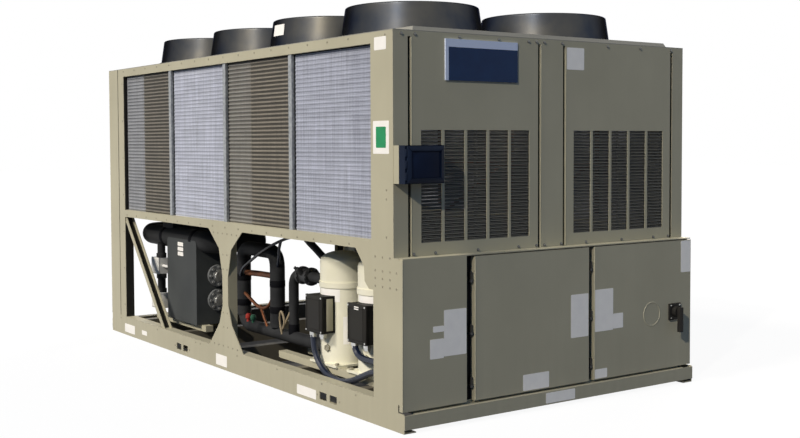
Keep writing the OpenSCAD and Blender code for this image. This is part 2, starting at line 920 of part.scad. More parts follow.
// Fan guards: rings joined by flat bars, inside the tops of the shrouds
module fan_guards() {
  taper = (shroud_foot_r - shroud_top_r) / (shroud_h - lip_r);
  r_in = shroud_foot_r - shroud_t - taper * (guard_z + guard_t - pan_z) - guard_gap;
  step = (r_in - guard_hub_r) / (guard_rings - 1);
  color(black)
    for (x = fan_xs, s = [-1, 1])
      translate([x, s * fan_row_gap / 2, guard_z]) {
        for (i = [0 : guard_rings - 1])
          guard_ring(guard_hub_r + i * step);
        for (a = [0 : 45 : 135])
          rotate([0, 0, a])
            translate([-r_in + guard_w / 2, -guard_w / 2, 0])
              cube([2 * r_in - guard_w, guard_w, guard_t]);
      }
}

// Back wall of the control cabinet
module cabinet_back() {
  color(paint)
    slab(x_cab_back, x_cab_back + steel_t, -y_out + steel_t, y_out - steel_t,
         base_h, cab_top - cab_roof_t);
}

// Roof of the control cabinet, over the doors
module cabinet_roof() {
  color(paint)
    slab(x_cab_back, x_door, -y_out + steel_t, y_out - steel_t, cab_top - cab_roof_t, cab_top);
}

// Floor of the control cabinet, on the end rail
module cabinet_floor() {
  fl = y_out - rail_flange;
  color(paint)
    slab(x_cab_back + steel_t, x_cab_front, -fl, fl, end_rail_top, end_rail_top + steel_t);
}

// Side wall of the control cabinet up to plane x1
module cabinet_side(x1) {
  xz_plate([[x_cab_back, base_h], [x1, base_h], [x1, cab_top], [x_face, cab_top],
            [x_face, gusset_z], [x_cab_back, gusset_z]], -y_out, -y_out + steel_t);
}

// Upright walls and posts of the control cabinet
module cabinet_uprights() {
  color(paint) {
    cabinet_side(x_door_back);
    mirror([0, 1, 0])
      cabinet_side(x_cab_front);
    for (y = [(y_mid0 - gap_left + y_mid0) / 2, (y_mid1 + y_right0) / 2])
      slab(x_cab_front - mullion_d, x_cab_front, y - mullion_w / 2, y + mullion_w / 2,
           end_rail_top + steel_t, cab_top - cab_roof_t);
  }
}

// A door or cover: a sheet with folded edges
module door_pan(y0, y1, z1) {
  difference() {
    slab(x_door_back, x_door, y0, y1, door_z, z1);
    slab(x_door_back - lap, x_door - sheet_t, y0 + sheet_t, y1 - sheet_t,
         door_z + sheet_t, z1 - sheet_t);
  }
}

// Fixed cover at the left of the control end
module cabinet_cover() {
  color(paint)
    door_pan(-y_out, -y_out + cover_w, cab_top - cab_roof_t);
}

// A door with hinge barrels at its left edge
module hinged_door(y0, y1, y_axis) {
  difference() {
    union() {
      door_pan(y0, y1, door_top);
      for (z = hinge_zs) {
        translate([x_hinge, y_axis, z - barrel_l / 2])
          cylinder(h = barrel_l, r = barrel_r);
        slab(x_hinge - hinge_strap_t / 2, x_hinge + hinge_strap_t / 2, y_axis, y0 + lap,
             z - barrel_l / 2, z + barrel_l / 2);
      }
    }
    for (z = hinge_zs)
      translate([x_hinge, y_axis, z - barrel_l / 2 - lap])
        cylinder(h = barrel_l + 2 * lap, r = pin_r + run_gap);
  }
}

// Middle door
module middle_door() {
  color(paint)
    hinged_door(y_mid0, y_mid1, y_hinge_mid);
}

// Right door, which carries the handle
module right_door() {
  color(paint)
    hinged_door(y_right0, y_out, y_hinge_right);
}

// Fixed hinge blocks with their pins
module door_hinges() {
  color(dark_paint)
    for (y = [y_hinge_mid, y_hinge_right], z = hinge_zs) {
      slab(x_cab_front, x_hinge + hinge_block_front, y - barrel_r, y + barrel_r,
           z - barrel_l / 2 - hinge_gap - hinge_block_h, z - barrel_l / 2 - hinge_gap);
      translate([x_hinge, y, z - barrel_l / 2 - hinge_gap - hinge_block_h / 2])
        cylinder(h = barrel_l + hinge_block_h / 2 + pin_over, r = pin_r);
    }
}

// Square plate behind the handle, with the bore for its shaft
module handle_plate() {
  color(black)
    difference() {
      slab(x_door, x_door + escutcheon_t, y_handle - escutcheon_w / 2, y_handle + escutcheon_w / 2,
           handle_z - escutcheon_w / 2, handle_z + escutcheon_w / 2);
      translate([x_door + escutcheon_t - shaft_in - lap, y_handle, handle_z])
        rotate([0, 90, 0])
          cylinder(h = shaft_in + 2 * lap, r = shaft_r + run_gap);
    }
}

// Handle of the main switch: a shaft, a round knob and a lever that hangs down
module disconnect_handle() {
  x0 = x_door + escutcheon_t + knob_gap;
  color(black) {
    translate([x0 - shaft_in, y_handle, handle_z])
      rotate([0, 90, 0])
        cylinder(h = shaft_in + knob_gap + lap, r = shaft_r);
    translate([x0, y_handle, handle_z])
      rotate([0, 90, 0])
        cylinder(h = knob_t, r = knob_r);
    slab(x_door + handle_out - lever_t, x_door + handle_out, y_handle - lever_w / 2,
         y_handle + lever_w / 2, handle_z - lever_l, handle_z + lever_up);
    slab(x0 + knob_t - lap, x_door + handle_out - lever_t + lap, y_handle - lever_w / 2,
         y_handle + lever_w / 2, handle_z - lever_w / 2, handle_z + lever_w / 2);
  }
}

// Bracket that carries the display box on the corner post
module display_bracket() {
  color(paint) {
    slab(x_face, x_face + display_off, display_y0, display_y0 + display_plate_t,
         display_z, display_z + display_h);
    slab(x_face + display_off - display_plate_t, x_face + display_off, display_y0,
         display_y0 + display_w * 0.8, display_z, display_z + display_h);
  }
}

// Display box
module display_box() {
  color(black)
    slab(x_face + display_off, x_face + display_off + display_d, display_y0,
         display_y0 + display_w, display_z, display_z + display_h);
}

// Evaporator: an insulated block, hollowed at the top for the water pipe
module evaporator() {
  color(grey)
    difference() {
      union() {
        slab(x_evap0, x_evap1, y_evap0, y_evap1, bearer_top, evap_z1 - evap_round);
        slab(x_evap0 + evap_round, x_evap1 - evap_round, y_evap0, y_evap1, bearer_top, evap_z1);
        for (x = [x_evap0 + evap_round, x_evap1 - evap_round])
          translate([x, y_evap0, evap_z1 - evap_round])
            rotate([-90, 0, 0])
              cylinder(h = evap_d, r = evap_round);
      }
      bar([x_evap0 - lap, water_y, water_z], [x_evap1 + lap, water_y, water_z], water_r + seat);
    }
}

// Insulated water pipe along the evaporator, with a bend at its rear end
module water_pipe() {
  color(black)
    pipe([[water_x1, water_end_y, water_z], [water_x1, water_y, water_z],
          [water_x0, water_y, water_z], [water_x0, water_back_y, water_z]],
         water_r, water_bend);
}

// Bolted end caps on the right end of the evaporator
module water_caps() {
  color(pale)
    for (z = cap_zs)
      translate([x_evap1, cap_y, z])
        rotate([0, 90, 0]) {
          cylinder(h = cap_stub_l + lap, r = cap_stub_r);
          translate([0, 0, cap_stub_l])
            cylinder(h = cap_t, r = cap_r);
        }
}

// Compressors: a foot plate, a shell with a band at its seam, and a domed top
module compressors() {
  dome = [for (a = [0 : 15 : 90]) [comp_r * cos(a), comp_h - comp_dome + comp_dome * sin(a)]];
  color(cream)
    both_sides()
      for (x = comp_xs)
        translate([x, y_comp, bearer_top]) {
          translate([0, 0, comp_base_t / 2])
            cube([comp_base_w, comp_base_w, comp_base_t], center = true);
          rotate_extrude()
            polygon(concat([[0, 0], [comp_r, 0], [comp_r, comp_seam],
                            [comp_r + comp_band, comp_seam],
                            [comp_r + comp_band, comp_seam + comp_band_h],
                            [comp_r, comp_seam + comp_band_h]], dome));
        }
}

// Terminal boxes on the fronts of the compressors
module terminal_boxes() {
  color(black)
    both_sides()
      for (i = [0, 1])
        difference() {
          slab(comp_xs[i] + term_dx[i] - term_w / 2, comp_xs[i] + term_dx[i] + term_w / 2,
               -y_out + term_y, y_comp - term_back, term_z, term_z + term_h);
          translate([comp_xs[i], y_comp, 0])
            cylinder(h = deck_z, r = comp_r + seat);
        }
}

// Power conduits that hang from the terminal boxes and enter the back of the cabinet
module power_conduits() {
  s = conduit_r;
  xa = comp_xs[0] + term_dx[0] - 2.5 * s;
  xb = comp_xs[1] + term_dx[1] - 3 * s;
  xe = x_cab_back;
  y = -y_out + term_y + 1.1 * s;
  low = base_h - 10;
  dip_x = 260;
  dip_z = term_z - 2 * s - low;
  rise_x = xa + dip_x + 3 * s;
  rise_l = xe - 3 * s - rise_x;
  rise_z = 125;
  turn_x = 5.5 * s;
  turn_z = term_z - s - low - rise_z - 2 * s - conduit_gap;
  zb = low + rise_z + 2 * s + conduit_gap;
  color(black)
    both_sides() {
      cable(concat([[xa, y, term_z]],
                   [for (a = [0 : 22.5 : 90])
                    [xa + dip_x * (1 - cos(a)), y, term_z - 2 * s - dip_z * sin(a)]],
                   [for (t = [0 : 0.25 : 1])
                    [rise_x + rise_l * t, y, low + rise_z * (3 - 2 * t) * t * t]],
                   [[xe - 1.5 * s, y, low + rise_z], [xe, y, low + rise_z]]), s);
      cable(concat([[xb, y, term_z]],
                   [for (a = [0 : 30 : 90])
                    [xb + turn_x * (1 - cos(a)), y, term_z - s - turn_z * sin(a)]],
                   [[xb + turn_x + 3 * s, y, zb], [xe - 3 * s, y, zb],
                    [xe - 1.5 * s, y, zb], [xe, y, zb]]), s);
    }
}

// Insulated suction pipes: an arch in the middle bay and a run to the compressors
module suction_pipes() {
  xs = comp_xs[0] - comp_r - seat;
  color(black)
    both_sides()
      pipe([[suction_x1, suction_y, suction_low + suction_r + seat],
            [suction_x1, suction_y, suction_top], [suction_x0, suction_y, suction_top],
            [suction_x0, suction_y, suction_low], [xs, suction_y, suction_low]],
           suction_r, suction_bend);
}

// Insulated risers from the suction run to the seams of the compressors
module riser_pipes() {
  xs = comp_xs[0] - comp_r - comp_band - seat;
  color(black)
    both_sides()
      pipe([[riser_x, suction_y, suction_low + suction_r + seat],
            [riser_x, suction_y, riser_z], [xs, suction_y, riser_z]], riser_r, riser_bend);
}

// Discharge pipes from the tops of the compressor shells up to the floor under the coils
module discharge_pipes() {
  xs = [for (x = comp_xs) x - comp_r - seat];
  xd = xs[0] - discharge_out - discharge_run;
  zt = floor_z - seat;
  color(black)
    both_sides() {
      cable(concat([[xs[0], suction_y, discharge_z], [xs[0] - discharge_out / 2, suction_y, discharge_z]],
                   [for (t = [0.15, 0.5, 0.88])
                    [xs[0] - discharge_out - discharge_run * t, suction_y,
                     discharge_z + discharge_rise * t]],
                   [[xd, suction_y, (discharge_z + discharge_rise + zt) / 2], [xd, suction_y, zt]]),
            discharge_r);
      pipe([[xs[1], suction_y, discharge_z], [xs[1] - discharge_out, suction_y, discharge_z],
            [xs[1] - discharge_out, suction_y, zt]], discharge_r, discharge_bend);
    }
}

// Junction box beside the evaporator, on a short conduit
module junction_box() {
  x1 = x_evap0 - junction_gap;
  yj = y_evap0 + junction_d / 2 + 10;
  color(pale) {
    slab(x1 - junction_w, x1, yj - junction_d / 2, yj + junction_d / 2, junction_z,
         junction_z + junction_h);
    bar([x1 - lap, yj, junction_z + junction_h / 2], [x_evap0, yj, junction_z + junction_h / 2],
        junction_stub_r);
  }
}

base_side_rails();
base_end_rails();
base_cross_members();
machine_rails();
rear_posts();
middle_posts();
front_posts();
rear_braces();
mid_rails();
top_side_rails();
top_end_rails();
coils_left();
coils_right();
coil_dividers();
coil_headers();
plenum_floor();
front_panels();
front_louvres();
rear_panels();
rear_louvres();
centre_posts();
name_plate();
fan_deck();
fan_shrouds_left();
fan_shrouds_right();
fan_rotors();
fan_motors();
fan_guards();
cabinet_back();
cabinet_roof();
cabinet_floor();
cabinet_uprights();
cabinet_cover();
middle_door();
right_door();
door_hinges();
handle_plate();
disconnect_handle();
display_box();
display_bracket();
evaporator();
water_pipe();
water_caps();
compressors();
terminal_boxes();
power_conduits();
suction_pipes();
riser_pipes();
discharge_pipes();
junction_box();
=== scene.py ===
# %% [markdown]
# # An air cooled water chiller
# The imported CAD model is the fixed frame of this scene. It already holds every main shape, so the lesson
# is about dressing it: a camera at the photo's place, sunlight, finishes for each real material, and the
# small pieces that a CAD model leaves out, such as coil ridges, screws, lids and seals.

# %% Load the frame
import math

import bpy
from mathutils import Matrix, Vector


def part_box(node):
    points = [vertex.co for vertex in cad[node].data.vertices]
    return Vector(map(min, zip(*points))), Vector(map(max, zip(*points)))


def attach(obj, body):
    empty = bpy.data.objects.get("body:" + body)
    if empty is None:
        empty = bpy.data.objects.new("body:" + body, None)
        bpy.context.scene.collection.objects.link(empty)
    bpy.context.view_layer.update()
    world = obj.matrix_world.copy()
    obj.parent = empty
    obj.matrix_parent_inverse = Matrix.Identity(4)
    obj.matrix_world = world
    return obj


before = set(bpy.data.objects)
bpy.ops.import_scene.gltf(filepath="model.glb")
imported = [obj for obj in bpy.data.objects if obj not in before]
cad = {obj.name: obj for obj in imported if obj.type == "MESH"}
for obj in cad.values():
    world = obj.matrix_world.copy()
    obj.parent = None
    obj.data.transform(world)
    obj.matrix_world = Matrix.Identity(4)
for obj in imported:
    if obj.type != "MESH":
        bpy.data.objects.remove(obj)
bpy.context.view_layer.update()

# %% [markdown]
# ## The camera
# The photo was taken from a little over head height near one corner. Its lens, its place and its small
# roll were worked out from the straight edges of the machine. A pixel distance becomes a lens length
# through the sensor width, and the frame is shifted because the photo was cropped below its middle.

# %% Camera
PHOTO_W, PHOTO_H = 800, 438
FOCAL_PX = 1126.75
AXIS_ROW = 191.08
EYE = Vector((6.968, -4.6015, 1.5561))
YAW, PITCH, ROLL = (math.radians(v) for v in (54.849, 2.40, 0.211))
SENSOR_MM, FAR_M = 36.0, 200

look = Vector((-math.sin(YAW) * math.cos(PITCH), math.cos(YAW) * math.cos(PITCH), -math.sin(PITCH)))
level = Vector((math.cos(YAW), math.sin(YAW), 0))
rise = level.cross(look)
across = level * math.cos(ROLL) - rise * math.sin(ROLL)
upward = rise * math.cos(ROLL) + level * math.sin(ROLL)
bpy.ops.object.camera_add()
camera = bpy.context.object
camera.matrix_world = Matrix([(across[i], upward[i], -look[i], EYE[i]) for i in range(3)] + [(0, 0, 0, 1)])
camera.data.sensor_width = SENSOR_MM
camera.data.lens = FOCAL_PX / PHOTO_W * SENSOR_MM
camera.data.shift_y = (AXIS_ROW - PHOTO_H / 2) / PHOTO_W
camera.data.clip_end = FAR_M
bpy.context.scene.camera = camera
bpy.context.scene.view_settings.view_transform = "Standard"
print("lens", round(camera.data.lens, 2), "mm, shift", round(camera.data.shift_y, 4))

# %% [markdown]
# ## Helpers that every finish uses
# A colour is written as an sRGB hex value, as a paint chart gives it, and the shader needs linear light.
# One helper adds a node, sets it up and links it, which keeps each finish readable from top to bottom.

# %% Colour and node helpers


def linear(hex_colour):
    """An sRGB hex colour as linear light, with alpha 1."""
    parts = [int(hex_colour[i:i + 2], 16) / 255 for i in (1, 3, 5)]
    return [p / 12.92 if p <= 0.04045 else ((p + 0.055) / 1.055) ** 2.4 for p in parts] + [1.0]


def feed(tree, node, inputs):
    """Fill a node's inputs by name. Values are set, sockets are linked, a node stands for its first output."""
    for name, value in inputs.items():
        if isinstance(value, bpy.types.Node):
            value = value.outputs[0]
        if isinstance(value, bpy.types.NodeSocket):
            tree.links.new(value, node.inputs[name])
        else:
            node.inputs[name].default_value = value


def add_node(tree, kind, inputs, stops=(), **settings):
    """Add a shader node, set it up and feed it. Stops are the places and colours of a ramp."""
    made = tree.nodes.new("ShaderNode" + kind)
    for name, value in settings.items():
        setattr(made, name, value)
    feed(tree, made, inputs)
    if stops:
        ramp = made.color_ramp.elements
        while len(ramp) < len(stops):
            ramp.new(1.0)
        for element, (place, colour) in zip(ramp, stops):
            element.position = place
            element.color = linear(colour)
    return made


def start_material(name):
    """A new material with its tree, its shader and the Object coordinates that patterns read, in metres."""
    material = bpy.data.materials.new(name)
    material.use_nodes = True
    tree = material.node_tree
    place = add_node(tree, "TexCoord", {}).outputs["Object"]
    return material, tree, tree.nodes["Principled BSDF"], place


print("helpers ready")

# %% [markdown]
# ## Light and floor
# The photo shows low morning sun on the long side, while the control end gets it at a grazing angle and
# stays about four times darker. One sun gives the shadow of the display box, and a second one, square to
# the long side, lifts that side alone. A soft third one from behind keeps the far side and the rear end
# readable, and reaches nothing that the camera sees. The floor and the sky are white to the camera and to
# reflections, but lend only a little light to the machine. Under the machine the floor's glow is cut low,
# a painted shadow where no sky reaches it.

# %% Sun, fill and sky
SUN_TO = Vector((0.38, -0.77, 0.52))
FILL_TO = Vector((0.0, -0.75, 0.66))
BACK_TO = Vector((-0.45, 0.80, 0.40))
for name, towards, strength, softness, colour in (
        ("sun", SUN_TO, 1.5, 1.5, "#fff6e8"), ("side_fill", FILL_TO, 2.3, 9.0, "#fff6ea"),
        ("back_fill", BACK_TO, 2.0, 25.0, "#ffeed4")):
    bpy.ops.object.light_add(type="SUN")
    lamp = bpy.context.object
    lamp.name = name
    lamp.rotation_mode = "QUATERNION"
    lamp.rotation_quaternion = towards.to_track_quat("Z", "Y")
    lamp.data.energy = strength
    lamp.data.angle = math.radians(softness)
    lamp.data.color = linear(colour)[:3]


def seen_rays(tree):
    """1 for what the camera sees, straight, mirrored or through glass, and 0 for rays that only light."""
    rays = add_node(tree, "LightPath", {}).outputs
    seen = add_node(tree, "Math", {0: rays["Is Camera Ray"], 1: rays["Is Glossy Ray"]}, operation="ADD")
    return add_node(tree, "Math", {0: seen, 1: rays["Is Transmission Ray"]}, operation="ADD", use_clamp=True)


world = bpy.data.worlds.new("pale_sky")
bpy.context.scene.world = world
world.use_nodes = True
tree = world.node_tree
tree.nodes.clear()
sky = add_node(tree, "Background", {"Color": linear("#68b0ff"), "Strength": 0.22})
white = add_node(tree, "Background", {"Color": linear("#ffffff"), "Strength": 1.0})
sky_or_white = add_node(tree, "MixShader", {0: seen_rays(tree), 1: sky, 2: white})
add_node(tree, "OutputWorld", {"Surface": sky_or_white})
print("three suns and a pale sky")

# %% Floor
FLOOR_M, FLOOR_Z = 120, -0.001
SHADE_HALF_X, SHADE_HALF_Y = 2.03, 1.09
bpy.ops.object.select_all(action="DESELECT")
bpy.ops.mesh.primitive_plane_add(size=FLOOR_M, location=(0, 0, FLOOR_Z))
floor = bpy.context.object
floor.name = "pale_floor"
floor_material, tree, shader, place = start_material("pale_floor")
tree.nodes.remove(shader)
axes = add_node(tree, "SeparateXYZ", {"Vector": place}).outputs
along = add_node(tree, "Math", {0: axes["X"], 1: 0.0, 2: SHADE_HALF_X}, operation="COMPARE")
beside = add_node(tree, "Math", {0: axes["Y"], 1: 0.0, 2: SHADE_HALF_Y}, operation="COMPARE")
under = add_node(tree, "Math", {0: along, 1: beside}, operation="MULTIPLY")
# Inside the machine's footprint the glow drops from 0.93 to 0.03: a painted shadow.
pale = add_node(tree, "MapRange", {"Value": under, "To Min": 0.93, "To Max": 0.03})
glow = add_node(tree, "Math", {0: seen_rays(tree), 1: pale}, operation="MULTIPLY")
shade = add_node(tree, "BsdfDiffuse", {"Color": linear("#4f4f4f")})
light = add_node(tree, "Emission", {"Color": linear("#ffffff"), "Strength": glow})
total = add_node(tree, "AddShader", {0: shade, 1: light})
feed(tree, tree.nodes["Material Output"], {"Surface": total})
floor.data.materials.append(floor_material)
print("floor ready")

# %% [markdown]
# ## Powder coat
# Nearly all sheet metal on this machine is beige polyester powder coat over galvanised steel. Baked
# powder levels out into a fine orange peel, a satin gloss, and faint clouds of tone where the sheet is
# not quite flat. Rain leaves thin streaks, and road dust settles low down. The peel of about 3 mm is too
# fine for the picture, so it is drawn at 12 mm. The inner faces in the hollow of a brace and behind the
# rear posts are painted near black as painted shade, and a face is told from its neighbours by its
# normal. The hinge barrels of the doors lie in the shaded gap and get the same painted shade, all round.

# %% Powder coat finish
PEEL_M, CLOUD_M, WAVE_M, STREAK_M = 0.012, 0.5, 0.35, (0.05, 0.05, 0.8)
PAINTED_SHADE_TONE, DUST_TOP, HINGE_HALF = "#23221f", 0.5, 0.0095
BEIGE = ("#bbb69d", "#b2ad95", "#a49f8b")


def powder_coat(name, tones, painted_shade=None):
    """Satin powder coat in pale, deep and dust tones. Painted shade is a direction or None, its |Y| and half
    width.
    """
    pale, deep, dust = tones
    material, tree, shader, place = start_material(name)
    clouds = add_node(tree, "TexNoise", {"Vector": place, "Scale": 1 / CLOUD_M, "Detail": 4.0})
    tone = add_node(tree, "ValToRGB", {"Fac": clouds}, stops=((0.3, deep), (0.7, pale)))
    runs = add_node(tree, "Mapping", {"Vector": place, "Scale": [1 / size for size in STREAK_M]})
    streaks = add_node(tree, "TexNoise", {"Vector": runs, "Scale": 1.0, "Detail": 3.0})
    axes = add_node(tree, "SeparateXYZ", {"Vector": place}).outputs
    low = add_node(tree, "MapRange", {"Value": axes["Z"], "From Min": DUST_TOP, "From Max": 0.0,
                                      "To Min": 0.08, "To Max": 0.55})
    film = add_node(tree, "Math", {0: low, 1: streaks}, operation="MULTIPLY")
    colour = add_node(tree, "Mix", {0: film, 6: tone, 7: linear(dust)}, data_type="RGBA")
    # A band of painted shade: faces picked by |Y| and by their normal are painted near black.
    if painted_shade:
        facing_in, middle, half = painted_shade
        across = add_node(tree, "Math", {0: axes["Y"]}, operation="ABSOLUTE")
        black = add_node(tree, "Math", {0: across, 1: middle, 2: half}, operation="COMPARE")
        if facing_in:
            normal = add_node(tree, "NewGeometry", {}).outputs["Normal"]
            turned = add_node(tree, "VectorMath", {0: normal, 1: facing_in}, operation="DOT_PRODUCT")
            inner = add_node(tree, "Math", {0: turned.outputs["Value"], 1: 0.7}, operation="GREATER_THAN")
            black = add_node(tree, "Math", {0: inner, 1: black}, operation="MULTIPLY")
        colour = add_node(tree, "Mix", {0: black, 6: colour.outputs[2], 7: linear(PAINTED_SHADE_TONE)},
                          data_type="RGBA")
    gloss = add_node(tree, "MapRange", {"Value": streaks, "From Min": 0.3, "From Max": 0.7,
                                        "To Min": 0.42, "To Max": 0.55})
    waves = add_node(tree, "TexNoise", {"Vector": place, "Scale": 1 / WAVE_M, "Detail": 1.0})
    bent = add_node(tree, "Bump", {"Height": waves, "Strength": 0.2, "Distance": 0.004})
    peel = add_node(tree, "TexNoise", {"Vector": place, "Scale": 1 / PEEL_M, "Detail": 2.0})
    skin = add_node(tree, "Bump", {"Height": peel, "Strength": 0.05, "Distance": 0.001, "Normal": bent})
    feed(tree, shader, {"Base Color": colour.outputs[2], "Roughness": gloss, "Normal": skin,
                        "Specular IOR Level": 0.22})
    return material


beige_coat = powder_coat("powder_coat_beige", BEIGE)
# The rear posts, the braces and the two doors get a band of painted shade in their hollows and hinge gaps.
post_coat = powder_coat("powder_coat_rear_posts", BEIGE, ((1, 0, 0), 1.114, 0.033))
brace_coat = powder_coat("powder_coat_braces", BEIGE, ((0.74, 0, 0.673), 1.111, 0.026))
middle_door_coat = powder_coat("powder_coat_middle_door", BEIGE, (None, 0.668, HINGE_HALF))
right_door_coat = powder_coat("powder_coat_right_door", BEIGE, (None, 0.261, HINGE_HALF))
# The louvres and the under frame get darker copies of the beige, painted shade for parts in shadow, and the roof
# deck a greyer one, painted shade for its edge lip.
deck_coat = powder_coat("powder_coat_roof_deck", ("#97958a", "#8e8c82", "#85837a"))
louvre_coat = powder_coat("powder_coat_louvres", ("#686760", "#605f58", "#5a5850"))
under_coat = powder_coat("powder_coat_under_frame", ("#6b675b", "#625e53", "#5c584e"))
print("eight powder coats")

# %% [markdown]
# ## Coil fins
# Each condenser coil is a pack of thin aluminium fins on rows of tubes, so its face shows fine lines
# across and a bold stripe at every tube row. The bays alternate between bright fins and dull ones, and
# each bay has one strip of another tone, painted light where the sun catches the fins differently. In the
# dull bays the grooves between the ridges are toned much darker, partly painted shade. A ramp along the
# length sets those tones. The fins are 2 mm apart, so their lines are drawn at 14 mm to show.

# %% Coil finishes
COIL_X0, COIL_X1 = -1.8325, 1.7875
FIN_LINE_M, BENT_FIN_M = (0.014, 0.014, 0.3), (0.35, 1.0, 0.04)
TONE_EDGES = (-1.8325, -1.468, -0.9275, -0.222, -0.0225, 0.321, 0.8825, 1.551)
# In each bay the second tone is a strip of painted light, and the dark groove tones of the dull bays are partly
# painted shade.
RIDGE_TONES = ("#909296", "#716c62", "#aeb2bf", "#a8acb9", "#84827c", "#7e786c", "#a1a5b2", "#9a9eab")
GROOVE_TONES = ("#818386", "#34312b", "#b0b4c1", "#aaaebb", "#64625c", "#3b3832", "#a2a6b3", "#9b9fac")


def coil_fins(name, tones, gloss):
    """Fin edges in the tones of the bays, with faint upright fin lines and patches of bent fins."""
    material, tree, shader, place = start_material(name)
    along = add_node(tree, "SeparateXYZ", {"Vector": place}).outputs["X"]
    share = add_node(tree, "MapRange", {"Value": along, "From Min": COIL_X0, "From Max": COIL_X1})
    stops = [((x - COIL_X0) / (COIL_X1 - COIL_X0), tone) for x, tone in zip(TONE_EDGES, tones)]
    bays = add_node(tree, "ValToRGB", {"Fac": share}, stops=stops)
    bays.color_ramp.interpolation = "CONSTANT"
    fine = add_node(tree, "Mapping", {"Vector": place, "Scale": [1 / size for size in FIN_LINE_M]})
    lines = add_node(tree, "TexNoise", {"Vector": fine, "Scale": 1.0, "Detail": 2.0})
    broad = add_node(tree, "Mapping", {"Vector": place, "Scale": [1 / size for size in BENT_FIN_M]})
    patches = add_node(tree, "TexNoise", {"Vector": broad, "Scale": 1.0, "Detail": 3.0})
    mixed = add_node(tree, "Math", {0: lines, 1: patches}, operation="ADD")
    level = add_node(tree, "MapRange", {"Value": mixed, "From Min": 0.6, "From Max": 1.4,
                                        "To Min": 0.72, "To Max": 1.26})
    colour = add_node(tree, "VectorMath", {0: bays, 1: level}, operation="MULTIPLY")
    rough = add_node(tree, "MapRange", {"Value": patches, "To Min": gloss, "To Max": gloss + 0.2})
    skin = add_node(tree, "Bump", {"Height": lines, "Strength": 0.25, "Distance": 0.001})
    feed(tree, shader, {"Base Color": colour, "Roughness": rough, "Normal": skin, "Specular IOR Level": 0.3})
    return material


fin_ridges = coil_fins("aluminium_fin_edges", RIDGE_TONES, 0.42)
fin_grooves = coil_fins("aluminium_fin_grooves", GROOVE_TONES, 0.55)
print("coil tones at", TONE_EDGES)

# %% [markdown]
# ## Metals
# Bare parts are hot dip galvanised sheet, with a spangle of crystals a centimetre across, zinc plated
# screws, and drawn copper tube that has gone brown in the weather. A metal takes its colour from its
# reflections, so the metallic value is high and only the tone and roughness vary. The black lacquer of
# the fan shrouds is set up as a dark metal too: it mirrors the sun in a broad warm band, and its navy
# edge tint is a painted reflection of a blue sky, where a plastic would turn pale.

# %% Metal finishes
SPANGLE_M, TARNISH_M, PLATING_M = 0.014, 0.06, 0.02


def bare_metal(name, tones, grain_m, metallic, rough, cells=False, edge="#ffffff"):
    """A metal whose tone follows crystal cells or clouds of tarnish. Edge is its tint at a grazing angle."""
    material, tree, shader, place = start_material(name)
    if cells:
        grain = add_node(tree, "TexVoronoi", {"Vector": place, "Scale": 1 / grain_m})
        value = add_node(tree, "SeparateColor", {0: grain.outputs["Color"]})
    else:
        value = add_node(tree, "TexNoise", {"Vector": place, "Scale": 1 / grain_m, "Detail": 5.0})
    tone = add_node(tree, "ValToRGB", {"Fac": value}, stops=((0.25, tones[0]), (0.75, tones[1])))
    gloss = add_node(tree, "MapRange", {"Value": value, "To Min": rough[0], "To Max": rough[1]})
    feed(tree, shader, {"Base Color": tone, "Roughness": gloss, "Metallic": metallic,
                        "Specular Tint": linear(edge)})
    return material


galvanised = bare_metal("galvanised_sheet", ("#8d9194", "#a6aaac"), SPANGLE_M, 0.45, (0.35, 0.55), True)
zinc_screw = bare_metal("zinc_plated_screw", ("#8b8674", "#a39e8b"), PLATING_M, 0.4, (0.4, 0.55))
bright_fitting = bare_metal("nickel_plated_fitting", ("#b9bab8", "#d9d9d6"), PLATING_M, 0.85, (0.25, 0.4))
copper_tube = bare_metal("weathered_copper_tube", ("#4a3020", "#86502f"), TARNISH_M, 0.7, (0.4, 0.65))
cast_cap = bare_metal("cast_iron_cap", ("#5b5d5e", "#7d8081"), 0.012, 0.35, (0.5, 0.7))
dull_bolt = bare_metal("dull_plated_bolt", ("#5d5f5f", "#7b7d7b"), PLATING_M, 0.4, (0.4, 0.55))
fan_blade = bare_metal("painted_fan_blade", ("#4a4b4d", "#5a5b5d"), 0.08, 0.3, (0.4, 0.55))
black_steel = bare_metal("black_coated_steel", ("#1d1e20", "#2b2c2e"), 0.05, 0.2, (0.4, 0.6))
# The navy edge tint, and partly the bluish dark tone, are a painted reflection of a blue sky.
shroud_lacquer = bare_metal("dusty_shroud_lacquer", ("#2a313d", "#54524c"), 0.3, 1.0, (0.31, 0.40),
                            edge="#1a3468")
print("nine metals")

# %% [markdown]
# ## Plastics, rubber and enamel
# Boxes and handles are textured black plastic, pipes are wrapped in closed cell foam rubber with small
# pores, and the compressors wear a cream enamel. They differ in tone, in gloss and in the size of their
# skin texture.

# %% Skins


def skin_finish(name, tones, tone_m, rough, pore_m, pore_depth, specular=0.2):
    """A paint, plastic or rubber: two close tones in clouds, a gloss that follows them, and a pored skin."""
    material, tree, shader, place = start_material(name)
    clouds = add_node(tree, "TexNoise", {"Vector": place, "Scale": 1 / tone_m, "Detail": 4.0})
    tone = add_node(tree, "ValToRGB", {"Fac": clouds}, stops=((0.3, tones[0]), (0.7, tones[1])))
    gloss = add_node(tree, "MapRange", {"Value": clouds, "From Min": 0.3, "From Max": 0.7,
                                        "To Min": rough[0], "To Max": rough[1]})
    pores = add_node(tree, "TexNoise", {"Vector": place, "Scale": 1 / pore_m, "Detail": 3.0})
    skin = add_node(tree, "Bump", {"Height": pores, "Strength": 0.3, "Distance": pore_depth})
    feed(tree, shader, {"Base Color": tone, "Roughness": gloss, "Normal": skin,
                        "Specular IOR Level": specular})
    return material


